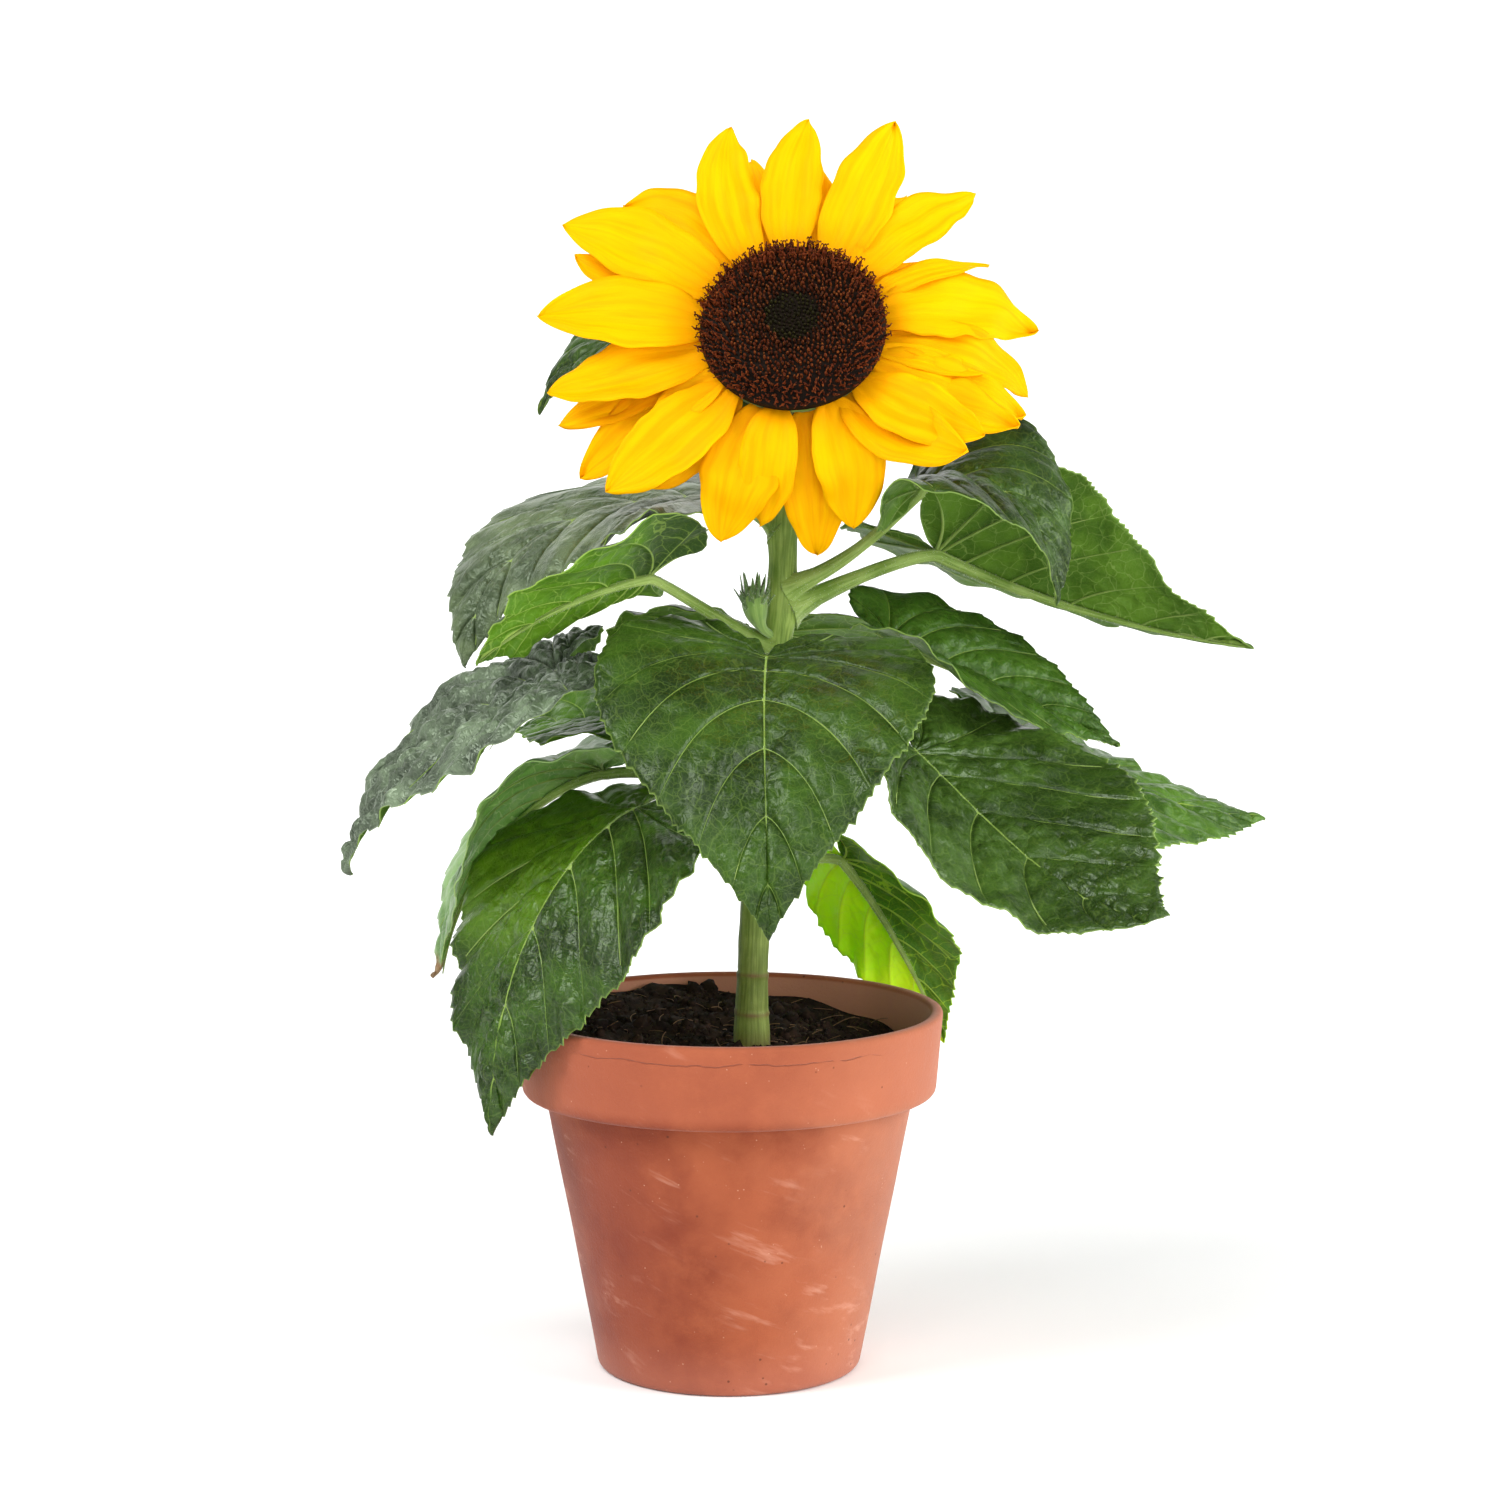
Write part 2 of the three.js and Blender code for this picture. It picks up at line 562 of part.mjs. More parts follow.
// ---------------------------------------------------------------- side bud
function sideBud() {
  const root = stemAt(292);
  const out = direction(236, 0);
  const foot = root.at.clone().addScaledVector(out, root.r + GAP + 0.8);
  const line = [[0, 0], [3, 2], [5.5, 5], [8, 8.5], [10, 13], [11, 18], [11.5, 21]];
  const points = line.map(([x, z]) => foot.clone().addScaledVector(out, x).add(vec(0, 0, z)));
  return limb(points, [1.5, 1.6, 2.6, 4.6, 5.4, 3.6, 1], 8);
}

// ---------------------------------------------------------------- the plant
const plant = new THREE.Group();
plant.add(piece('pot', pot(), 0xb5714f, 0.85));
plant.add(piece('soil', soil(), 0x2b211c, 0.95));
plant.add(piece('stem', stem(), 0x8aa45a, 0.7));
plant.add(piece('side_bud', sideBud(), 0x7f9a4c, 0.7));
for (const [name, leaf] of Object.entries(LEAVES)) {
  plant.add(piece(`stalk_${name}`, stalk(leaf), 0x93a864, 0.7));
  plant.add(piece(`leaf_${name}`, blade(leaf), 0x4d7a35, 0.6));
}

const head = new THREE.Group();
head.applyMatrix4(headTurn);
head.position.set(...HEAD_AT);
head.add(piece('petal_ring', petalRing(), 0xf7c814, 0.55));
head.add(piece('seed_disc', seedDisc(), 0x4a2f22, 0.9));
head.add(piece('calyx', calyx(), 0x6f8f3e, 0.7));
plant.add(head);

export default plant;
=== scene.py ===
# %% [markdown]
# # A potted sunflower
#
# A sunflower in flower stands in a clay pot: one hairy stem, sixteen stalked leaves, one side bud and one
# head. The CAD model already holds the size and place of each of them as plain solids. This script puts the
# real surfaces in their place: leaves with veins and toothed edges, pleated petals, a spiral of florets,
# crumbly soil and dusty fired clay. All shapes are worked out in millimetres and scaled to metres when a
# mesh is made, because a gardener's sizes read better that way.

# %% Load the CAD model as a fixed frame
import json
import math
from collections import namedtuple

import bpy
import numpy as np
from mathutils import Matrix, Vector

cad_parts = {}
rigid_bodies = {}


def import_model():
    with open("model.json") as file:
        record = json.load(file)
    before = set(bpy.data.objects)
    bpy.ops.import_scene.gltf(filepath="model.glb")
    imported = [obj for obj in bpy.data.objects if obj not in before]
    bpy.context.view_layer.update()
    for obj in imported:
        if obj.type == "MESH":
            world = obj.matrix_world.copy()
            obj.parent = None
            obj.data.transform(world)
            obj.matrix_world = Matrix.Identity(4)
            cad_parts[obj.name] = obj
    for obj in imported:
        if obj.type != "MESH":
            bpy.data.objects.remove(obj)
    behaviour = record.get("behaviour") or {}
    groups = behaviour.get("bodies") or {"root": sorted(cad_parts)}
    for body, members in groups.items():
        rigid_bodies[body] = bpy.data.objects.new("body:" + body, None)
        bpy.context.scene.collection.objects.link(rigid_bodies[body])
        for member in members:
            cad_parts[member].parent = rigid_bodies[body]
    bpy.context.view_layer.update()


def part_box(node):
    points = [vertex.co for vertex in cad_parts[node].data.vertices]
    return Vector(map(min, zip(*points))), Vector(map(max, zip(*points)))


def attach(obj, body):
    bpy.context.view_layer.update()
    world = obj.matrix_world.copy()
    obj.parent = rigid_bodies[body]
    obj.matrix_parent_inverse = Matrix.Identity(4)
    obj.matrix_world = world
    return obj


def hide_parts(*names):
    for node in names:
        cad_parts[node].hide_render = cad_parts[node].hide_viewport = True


MM = 0.001
scene = bpy.context.scene
for leftover in list(bpy.data.objects):  # the cube, lamp and camera that a new Blender file starts with
    bpy.data.objects.remove(leftover)

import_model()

# %% [markdown]
# ## Camera, floor and light
#
# The plant is seen from the front, a little above its middle, through a long lens that keeps the pot's rim a
# narrow ellipse. The floor sweeps up behind the plant into a backdrop without an edge, as in a small studio.
# Two large soft lights stand at the sides, the higher one on the left, so the pot is darkest along its middle
# and the leaves shine on the left. Two weak front lights and a pale sky fill the shadows, the low one inside
# the pot too, and two more lights only wash the backdrop. The plain "Standard" view keeps the petals a full
# yellow.

# %% Camera
CAMERA_AT = (0.0083, -1.5, 0.42)
CAMERA_TILT = 83.4  # degrees; 90 would look level

camera_data = bpy.data.cameras.new("camera")
camera_data.lens = 92.2
camera_data.sensor_width = 36
camera = bpy.data.objects.new("camera", camera_data)
camera.location = CAMERA_AT
camera.rotation_euler = (math.radians(CAMERA_TILT), 0, 0)
scene.collection.objects.link(camera)
scene.camera = camera
scene.view_settings.view_transform = "Standard"

# %% Colours are written as web codes and turned into the linear values that Blender works with
def paint(code):
    """A linear colour, with full alpha, from a six-figure web code."""
    parts = [int(code[i : i + 2], 16) / 255 for i in (0, 2, 4)]
    linear = [((p + 0.055) / 1.055) ** 2.4 if p > 0.04045 else p / 12.92 for p in parts]
    return (*linear, 1.0)


# %% Soft lights
def soft_light(name, place, target, size, power, colour="ffffff"):
    """A square area light that faces a target."""
    data = bpy.data.lights.new(name, "AREA")
    data.size = size
    data.energy = power
    data.color = paint(colour)[:3]
    light = bpy.data.objects.new(name, data)
    light.location = place
    aim = np.array(target) - np.array(place)
    tip = math.atan2(math.hypot(aim[0], aim[1]), -aim[2])
    light.rotation_euler = (tip, 0, math.atan2(-aim[0], aim[1]))
    scene.collection.objects.link(light)
    return light


MIDDLE = (0, 0, 0.27)
soft_light("left box", (-1.3, -0.75, 1.55), MIDDLE, 1.0, 30)
soft_light("right box", (1.6, -0.45, 0.85), MIDDLE, 1.3, 31)
soft_light("front box", (-0.25, -1.9, 1.9), MIDDLE, 1.2, 12)
soft_light("low front box", (0.45, -2.1, 0.6), (0, 0, 0.15), 0.8, 12)
soft_light("backdrop wash left", (-1.3, 0.9, 1.5), (-0.9, 2.8, 1.1), 1.4, 30)
soft_light("backdrop wash right", (1.3, 0.9, 1.5), (0.9, 2.8, 1.1), 1.4, 30)
world = bpy.data.worlds.new("pale sky")
world.use_nodes = True
sky = world.node_tree.nodes["Background"].inputs
sky["Color"].default_value = paint("f8fafc")
sky["Strength"].default_value = 0.36
scene.world = world

# %% [markdown]
# ## Tools for nodes
#
# Materials and Geometry Nodes are both trees of nodes. Building them by hand takes three lines for each node,
# which hides the idea. Two small classes help: `Value` wraps a node's output, so that a sum can be written as
# a sum, and `Maker` adds any node from its type, its settings and its sockets.

# %% A socket that can be used in sums
class Value:
    """One output of a node. Adding or multiplying it makes the Math node for that."""

    def __init__(self, maker, node, output=0):
        self.maker = maker
        self.node = node
        self.socket = node.outputs[output]

    def out(self, output):
        return Value(self.maker, self.node, output)

    def __add__(self, other):
        return self.maker.maths("ADD", self, other)

    def __sub__(self, other):
        return self.maker.maths("SUBTRACT", self, other)

    def __rsub__(self, other):
        return self.maker.maths("SUBTRACT", other, self)

    def __mul__(self, other):
        return self.maker.maths("MULTIPLY", self, other)

    def __truediv__(self, other):
        return self.maker.maths("DIVIDE", self, other)

    def __pow__(self, other):
        return self.maker.maths("POWER", self, other)

    def top(self, other):
        return self.maker.maths("MAXIMUM", self, other)


class Maker:
    """Adds nodes to a tree: settings are set first, and then values or links on its sockets."""

    def __init__(self, tree):
        self.tree = tree

    def node(self, kind, settings=None, sockets=None, output=0):
        node = self.tree.nodes.new(kind)
        for name, setting in (settings or {}).items():
            setattr(node, name, setting)
        for name, given in (sockets or {}).items():
            if isinstance(given, Value):
                self.tree.links.new(given.socket, node.inputs[name])
            else:
                node.inputs[name].default_value = given
        return Value(self, node, output)

    def maths(self, operation, *terms):
        return self.node("ShaderNodeMath", {"operation": operation}, dict(enumerate(terms)))

    def vector(self, operation, *terms, **sockets):
        sockets = {**dict(enumerate(terms)), **sockets}
        return self.node("ShaderNodeVectorMath", {"operation": operation}, sockets)

    def xyz(self, x=0.0, y=0.0, z=0.0):
        return self.node("ShaderNodeCombineXYZ", None, {"X": x, "Y": y, "Z": z})

    def parts(self, vector):
        """The three parts of a vector, as X, Y and Z outputs."""
        return self.node("ShaderNodeSeparateXYZ", None, {"Vector": vector})

    def ease(self, value, low, high, start=0.0, end=1.0):
        """Goes smoothly from start to end as the value goes from low to high."""
        sockets = {"Value": value, "From Min": low, "From Max": high, "To Min": start, "To Max": end}
        return self.node("ShaderNodeMapRange", {"interpolation_type": "SMOOTHSTEP"}, sockets)


# %% A surface finish: a Principled shader with the sockets that may vary
class Finish(Maker):
    """A material in the making. Constants go straight on the shader's own sockets."""

    def __init__(self, name, **constants):
        self.material = bpy.data.materials.new(name)
        self.material.use_nodes = True
        super().__init__(self.material.node_tree)
        self.shader = self.tree.nodes["Principled BSDF"]
        for title, constant in constants.items():
            title = title.replace("_", " ").title().replace("Ior", "IOR")
            self.shader.inputs[title].default_value = constant

    def place(self):
        """Object coordinates in millimetres."""
        return self.vector("SCALE", self.node("ShaderNodeTexCoord", output="Object"), Scale=1 / MM)

    def attribute(self, name, output="Fac"):
        return self.node("ShaderNodeAttribute", {"attribute_name": name}, output=output)

    def noise(self, place, size, detail=3.0, roughness=0.5):
        sockets = {"Vector": place, "Scale": 1 / size, "Detail": detail, "Roughness": roughness}
        return self.node("ShaderNodeTexNoise", None, sockets, "Fac")

    def cells(self, place, size, feature="DISTANCE_TO_EDGE", output="Distance"):
        sockets = {"Vector": place, "Scale": 1 / size}
        return self.node("ShaderNodeTexVoronoi", {"feature": feature}, sockets, output)

    def mix(self, share, first, second):
        """A colour between two others, which may be web codes. Sockets 6 and 7 are the Mix node's colours,
        and output 2 its result."""
        first, second = (paint(colour) if isinstance(colour, str) else colour for colour in (first, second))
        return self.node("ShaderNodeMix", {"data_type": "RGBA"}, {0: share, 6: first, 7: second}, 2)

    def base(self, share, first, second):
        """Starts the tone as a mix of two colours."""
        self.tone = self.mix(share, first, second)

    def lay(self, share, colour):
        """Lays a colour over the tone so far. The share is 0 where none of it goes."""
        self.tone = self.mix(share, self.tone, colour)

    def coat(self, roughness=None, height=None, depth=0.1):
        """Links the tone and the other parts that vary. The height's depth is in millimetres."""
        self.tree.links.new(self.tone.socket, self.shader.inputs["Base Color"])
        if roughness:
            self.tree.links.new(roughness.socket, self.shader.inputs["Roughness"])
        if height:
            bump = self.node("ShaderNodeBump", None, {"Height": height, "Distance": depth * MM})
            self.tree.links.new(bump.socket, self.shader.inputs["Normal"])
        return self.material


# %% The floor and backdrop are one sheet, bent in a quarter circle behind the plant
FLOOR_HALF = 3.0
BEND_START = 1.6
BEND_RADIUS = 1.2
BEND_STEPS = 16
BACKDROP_TOP = 4.0
FLOOR_FRONT = -4.0

profile = [(FLOOR_FRONT, 0.0), (BEND_START, 0.0)]
for step in range(1, BEND_STEPS + 1):
    turn = math.radians(90 * step / BEND_STEPS)
    profile.append((BEND_START + BEND_RADIUS * math.sin(turn), BEND_RADIUS * (1 - math.cos(turn))))
profile.append((BEND_START + BEND_RADIUS, BACKDROP_TOP))
floor_points = [(side * FLOOR_HALF, y, z) for y, z in profile for side in (-1, 1)]
floor_faces = [(2 * i, 2 * i + 1, 2 * i + 3, 2 * i + 2) for i in range(len(profile) - 1)]
floor_mesh = bpy.data.meshes.new("floor")
floor_mesh.from_pydata(floor_points, [], floor_faces)
floor_mesh.shade_smooth()
floor = bpy.data.objects.new("floor", floor_mesh)
scene.collection.objects.link(floor)
paper = Finish("white paper", roughness=0.95, specular_ior_level=0.0)
paper.base(paper.noise(paper.place(), 900), "fbfbfa", "fdfdfd")
paper.coat()
floor_mesh.materials.append(paper.material)

# %% [markdown]
# ## Tools for meshes
#
# Leaves and petals are thin. Each is worked out first as one open sheet of points, and `thicken` then gives
# it a front and a back a fraction of a millimetre apart, closed along the edge, so that both sides can have
# their own colour. NumPy does this for thousands of points at once.

# %% Sheets and solids
THICKNESS_LEAF = 0.5
THICKNESS_PETAL = 0.35
THICKNESS_BRACT = 1.0
THICKNESS_SEPAL = 0.4


def between(a, b, share):
    return a + (b - a) * share


def grid_triangles(rows, columns, first=0, flip=False):
    """The triangles of a grid of points that are numbered row by row."""
    index = first + np.arange(rows * columns).reshape(rows, columns)
    a, b, c, d = index[:-1, :-1], index[:-1, 1:], index[1:, 1:], index[1:, :-1]
    halves = [np.stack(corners, -1).reshape(-1, 3) for corners in ((a, b, c), (a, c, d))]
    triangles = np.concatenate(halves)
    return triangles[:, ::-1] if flip else triangles


def joined(triangles, keys):
    """Makes points with the same key one point, and leaves out the triangles that this closes up."""
    _, chosen, number = np.unique(np.round(keys, 4), axis=0, return_index=True, return_inverse=True)
    triangles = number.reshape(-1)[triangles]
    a, b, c = triangles.T
    return chosen, triangles[(a != b) & (b != c) & (c != a)]


def point_normals(points, triangles):
    a, b, c = (points[triangles[:, k]] for k in range(3))
    facing = np.cross(b - a, c - a)
    sums = np.zeros_like(points)
    for k in range(3):
        np.add.at(sums, triangles[:, k], facing)
    return sums / np.maximum(np.linalg.norm(sums, axis=1, keepdims=True), 1e-12)


def thicken(points, triangles, thickness):
    """Front, back and edge of a thin solid round a sheet. The third result is 0 on the front, or else 1."""
    normals = point_normals(points, triangles)
    count = len(points)
    solid = np.concatenate([points + normals * thickness / 2, points - normals * thickness / 2])
    edges = np.concatenate([triangles[:, [0, 1]], triangles[:, [1, 2]], triangles[:, [2, 0]]])
    codes = edges[:, 0] * count + edges[:, 1]
    open_edges = edges[~np.isin(codes, edges[:, 1] * count + edges[:, 0])]
    p, q = open_edges.T
    rim = np.concatenate([np.stack([q, p, count + p], -1), np.stack([q, count + p, count + q], -1)])
    faces = np.concatenate([triangles, count + triangles[:, ::-1], rim])
    side = np.ones(len(faces), int)
    side[: len(triangles)] = 0
    return solid, faces, side


def add_mesh(name, points, triangles, materials, which=None, attributes=None):
    """A smooth mesh object from millimetre points. Attributes are one number or three for each point."""
    mesh = bpy.data.meshes.new(name)
    mesh.from_pydata((points * MM).tolist(), [], triangles.tolist())
    for material in materials:
        mesh.materials.append(material)
    if which is not None:
        mesh.polygons.foreach_set("material_index", np.asarray(which, np.int32))
    for title, values in (attributes or {}).items():
        kind, field = ("FLOAT", "value") if values.ndim == 1 else ("FLOAT_VECTOR", "vector")
        store = mesh.attributes.new(title, kind, "POINT")
        store.data.foreach_set(field, values.astype(np.float32).ravel())
    mesh.shade_smooth()
    piece = bpy.data.objects.new(name, mesh)
    scene.collection.objects.link(piece)
    return piece


def hand_over(piece, slot, *nodes):
    """The piece rides on the plant's one body and stands for these CAD nodes."""
    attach(piece, "root")
    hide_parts(*nodes)
    faces = sum(len(polygon.vertices) - 2 for polygon in piece.data.polygons)
    print(f"{piece.name}: {faces} triangles for {', '.join(nodes) or 'no node'}")


def ripple(x, y, size, seed, waves=7):
    """Soft unevenness between about -1 and 1: a few sine waves of about one size in random directions."""
    draw = np.random.default_rng(seed)
    total = 0
    for _ in range(waves):
        turn, phase = draw.uniform(0, 2 * math.pi, 2)
        pace = 2 * math.pi / (size * draw.uniform(0.7, 1.5))
        total = total + np.sin(pace * (x * math.cos(turn) + y * math.sin(turn)) + phase)
    return total / math.sqrt(waves)


# %% [markdown]
# ## The clay pot
#
# A thrown pot is the same all the way round, so it is one outline turned about an axis. Its rim is a separate
# band, and its corners are worn round by hand and kiln. The outline takes its height and width from the CAD
# pot. Each corner becomes a small curve, and a slow unevenness of a few tenths of a millimetre keeps the
# highlights from looking machined.

# %% Sizes of the pot, from the CAD model
_, pot_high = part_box("pot")
POT_HEIGHT = pot_high.z / MM
POT_RIM_R = pot_high.x / MM
POT_BAND_Z = 110.7
POT_FLOOR = 9
POT_SIDES = 168

# Each corner of the outline: radius, height and how round it is, from the axis below to the axis inside.
POT_OUTLINE = [
    (0, 0, 0), (POT_RIM_R - 33.2, 0, 3.2), (POT_RIM_R - 12, POT_BAND_Z, 0.8),
    (POT_RIM_R - 3.3, POT_BAND_Z, 2.6), (POT_RIM_R, POT_HEIGHT, 2.4), (80.0, POT_HEIGHT, 2.0),
    (77.4, 113, 4), (66.5, 106, 3), (45.8, POT_FLOOR, 2), (0, POT_FLOOR, 0),
]


def rounded(corners, steps=5, spacing=4.0):
    """A smooth line through rounded corners, with extra points along its straight stretches."""
    line = []
    for i, (r, z, radius) in enumerate(corners):
        here = np.array([r, z], float)
        if radius == 0:
            line.append(here)
            continue
        before = np.array(corners[i - 1][:2], float) - here
        after = np.array(corners[i + 1][:2], float) - here
        enter = here + before / np.linalg.norm(before) * radius
        leave = here + after / np.linalg.norm(after) * radius
        for t in np.linspace(0, 1, steps):
            line.append((1 - t) ** 2 * enter + 2 * t * (1 - t) * here + t * t * leave)
    dense = [line[0]]
    for start, end in zip(line, line[1:]):
        parts = max(1, int(np.linalg.norm(end - start) / spacing))
        dense += [start + (end - start) * k / parts for k in range(1, parts + 1)]
    return np.array(dense)


# %% Turn the outline
outline = rounded(POT_OUTLINE)
turns = np.linspace(0, 2 * math.pi, POT_SIDES + 1)
radius_grid, turn_grid = np.meshgrid(outline[:, 0], turns, indexing="ij")
height_grid = np.meshgrid(outline[:, 1], turns, indexing="ij")[0]
wobble = 0.16 * ripple(80 * np.cos(turn_grid), height_grid + 80 * np.sin(turn_grid), 60, 3)
worn = radius_grid + wobble * np.clip(radius_grid / 40, 0, 1) * np.clip(height_grid / 3, 0, 1)
pot_points = np.stack([worn * np.cos(turn_grid), worn * np.sin(turn_grid), height_grid], -1).reshape(-1, 3)
pot_triangles = grid_triangles(len(outline), POT_SIDES + 1, flip=True)
chosen, pot_triangles = joined(pot_triangles, pot_points)
inner_start = int(np.argmax(outline[:, 1] >= POT_HEIGHT - 0.01))
inside = (np.arange(len(outline)) > inner_start + 4).astype(float)
inside = np.repeat(inside, POT_SIDES + 1)

# %% [markdown]
# Fired clay is never one colour. The body is a warm orange brown with darker, damper clouds. Painted light
# makes the right side paler, where the right-hand lamp falls, and painted shade darkens a band up the body
# just left of the middle. The rim is paler, lime has dried into thin slanting wipes, grit shows as pale and
# dark specks, and a hairline runs along under the lip. Each of these is one mask made from noise in object
# coordinates, laid over the last. Inside, the wall is painted paler, standing in for light that reaches it,
# and it grows darker towards the soil.

# %% Fired clay
clay = Finish("fired clay", roughness=0.82, specular_ior_level=0.12, sheen_weight=0.16, sheen_roughness=0.5)
spot = clay.place()
cloud = clay.ease(clay.noise(spot, 48, 4, 0.55), 0.3, 0.7)
mottle = clay.noise(spot, 9, 5, 0.65)
clay.base(cloud, "803a24", "a35637")
clay.lay(clay.ease(mottle, 0.42, 0.72) * 0.4, "a75c3d")
side_to_side, depth, height = (clay.parts(spot).out(part) for part in "XYZ")
# painted light: the right side of the pot is made paler, where the right-hand lamp falls
painted_light_side = clay.ease(side_to_side + clay.noise(spot, 30, 3) * 50, 30, 95)
clay.lay(painted_light_side * 0.5, "c4805f")
# painted shade: a darker band runs up the body just left of the middle, where neither side lamp reaches
painted_shade_band = clay.ease((side_to_side + clay.noise(spot, 34, 4, 0.6) * 60 + 12) ** 2, 700, 40)
clay.lay(painted_shade_band * 0.6, "7a3422")
band = clay.ease(height, POT_BAND_Z - 0.5, POT_BAND_Z + 6)
clay.lay(band * 0.5, "b56547")
foot = clay.ease(height, 26, 2)
clay.lay(foot * 0.4, "b5705a")
slant = clay.node("ShaderNodeMapping", {"vector_type": "TEXTURE"}, {
    "Vector": spot, "Rotation": (0, 0.42, 0), "Scale": (5.0, 2.0, 0.8),
})
wipe = clay.ease(clay.noise(slant, 9, 4, 0.6), 0.54, 0.72)
wipe = wipe * clay.ease(clay.noise(spot, 45, 2), 0.43, 0.6)
clay.lay(wipe * 0.42, "d9a088")
grit = clay.ease(clay.cells(spot, 2.6, "F1"), 0.15, 0.06) * clay.ease(clay.noise(spot, 8, 2), 0.55, 0.66)
clay.lay(grit * 0.5, "dba98a")
char = clay.ease(clay.cells(spot, 6.3, "F1"), 0.11, 0.05) * clay.ease(clay.noise(spot, 17, 2), 0.5, 0.58)
clay.lay(char * 0.75, "5a3022")
waver = clay.noise(spot, 14, 3)
crack = clay.ease(((height + waver * 4 - POT_HEIGHT + 4.8) ** 2), 0.06, 0.005)
crack = crack * clay.ease(clay.noise(spot, 15, 2), 0.42, 0.5) * clay.ease(depth, -55, -70)
clay.lay(crack * 0.55, "7d3a28")
inner = clay.attribute("inside")
# painted light: the inside wall is made paler, standing in for light that reaches it
clay.lay(inner * 0.8, "d0927a")
# the inside wall grows darker towards the soil
lower_inside = clay.ease(height, POT_HEIGHT - 6, POT_HEIGHT - 26)
clay.lay(inner * lower_inside * 0.35, "83452f")
grain = clay.noise(spot, 1.1, 3, 0.7) + clay.noise(spot, 6, 3) * 0.8 - crack * 1.5 - grit * 0.3
clay.coat(clay.ease(mottle, 0.3, 0.7, 0.74, 0.9), grain, 0.22)

inside = {"inside": inside[chosen]}
pot = add_mesh("clay_pot", pot_points[chosen], pot_triangles, [clay.material], None, inside)
hand_over(pot, "fired_clay", "pot")

# %% [markdown]
# ## A way to run Geometry Nodes
#
# Soil crumbs, hairs, florets and veins are things that repeat, or follow a surface or a path. A recipe is a
# Geometry Nodes tree with named inputs. `grown` runs it on a base mesh, takes the result as a plain mesh and
# throws the modifier away, because instances and live modifiers don't survive an export.

# %% Recipes
SOCKETS = {float: "NodeSocketFloat", int: "NodeSocketInt"}


class Recipe(Maker):
    """A Geometry Nodes tree. The inputs are given by name, each with its usual value."""

    def __init__(self, name, **inputs):
        super().__init__(bpy.data.node_groups.new(name, "GeometryNodeTree"))
        face = self.tree.interface
        face.new_socket("Geometry", in_out="INPUT", socket_type="NodeSocketGeometry")
        face.new_socket("Geometry", in_out="OUTPUT", socket_type="NodeSocketGeometry")
        face.new_socket("material", in_out="INPUT", socket_type="NodeSocketMaterial")
        face.new_socket("kind", in_out="INPUT", socket_type="NodeSocketObject")
        for title, usual in inputs.items():
            socket = face.new_socket(title, in_out="INPUT", socket_type=SOCKETS[type(usual)])
            socket.default_value = usual
        self.given = self.tree.nodes.new("NodeGroupInput")
        self.result = self.tree.nodes.new("NodeGroupOutput")

    def input(self, title):
        return Value(self, self.given, title)

    def strewn(self):
        """Points strewn over the faces of the base mesh."""
        titles = {"Mesh": "Geometry", "Density": "per_area", "Seed": "seed"}
        sockets = {socket: self.input(title) for socket, title in titles.items()}
        return self.node("GeometryNodeDistributePointsOnFaces", None, sockets)

    def placed(self, points, instance, rotation, scale, **others):
        """The instance on each of the points."""
        sockets = {"Points": points, "Instance": instance, "Rotation": rotation, "Scale": scale, **others}
        return self.node("GeometryNodeInstanceOnPoints", None, sockets)

    def turned(self, rotation, by):
        """A rotation, turned further in its own frame."""
        sockets = {"Rotation": rotation, "Rotate By": by}
        return self.node("FunctionNodeRotateRotation", {"rotation_space": "LOCAL"}, sockets)

    def stored(self, geometry, title, value, kind="FLOAT"):
        """The geometry with a named attribute on its points."""
        sockets = {"Geometry": geometry, "Name": title, "Value": value}
        return self.node("GeometryNodeStoreNamedAttribute", {"data_type": kind, "domain": "POINT"}, sockets)

    def random(self, low, high, seed, kind="FLOAT"):
        """A random number for each point, or three where kind is FLOAT_VECTOR."""
        first, output = (0, 0) if kind == "FLOAT_VECTOR" else (2, 1)
        sockets = {first: low, first + 1: high, 8: seed}
        return self.node("FunctionNodeRandomValue", {"data_type": kind}, sockets, output)

    def finish(self, geometry):
        """Makes instances real and gives all of it the material input."""
        real = self.node("GeometryNodeRealizeInstances", None, {"Geometry": geometry})
        sockets = {"Geometry": real, "Material": self.input("material")}
        done = self.node("GeometryNodeSetMaterial", None, sockets)
        self.tree.links.new(done.socket, self.result.inputs["Geometry"])


def grown(name, recipe, base, **values):
    """Runs a recipe on a mesh and returns the result as a plain mesh object."""
    worker = bpy.data.objects.new(name + "_worker", base)
    scene.collection.objects.link(worker)
    modifier = worker.modifiers.new("recipe", "NODES")
    modifier.node_group = recipe.tree
    for item in recipe.tree.interface.items_tree:
        if item.in_out == "INPUT" and item.name in values:
            modifier[item.identifier] = values[item.name]
    evaluated = worker.evaluated_get(bpy.context.evaluated_depsgraph_get())
    mesh = bpy.data.meshes.new_from_object(evaluated)
    bpy.data.objects.remove(worker)
    mesh.name = name
    mesh.shade_smooth()
    piece = bpy.data.objects.new(name, mesh)
    scene.collection.objects.link(piece)
    return piece


# %% [markdown]
# ## Soil
#
# Potting soil is a dark crumb: lumps from one to five millimetres, with fibres and bits of bark between them.
# The bed is a sheet that rises towards the back left, as the CAD soil does, roughened by two sizes of ripple.
# The crumbs are strewn over it by Geometry Nodes and bent by a noise once they are real, so no two are alike.

# %% Soil bed
SOIL_FOOT_Z = 128
SOIL_MOUND = 11
STEM_FOOT = (9, 0)
POT_INSIDE_R = [45.5, 66.2, 76.2, 78.1]
POT_INSIDE_Z = [POT_FLOOR + 0.3, 107, 113, POT_HEIGHT - 1.5]


def soil_height(x, y):
    away = np.clip((np.hypot(x - STEM_FOOT[0], y - STEM_FOOT[1]) - 12) / 30, 0, 1)
    slope = (-0.62 * x + 0.78 * y) / 76
    clods = 1.6 * np.sin(x / 9 + 1) * np.sin(y / 8 + 2)
    return SOIL_FOOT_Z + away * (SOIL_MOUND * slope + clods)


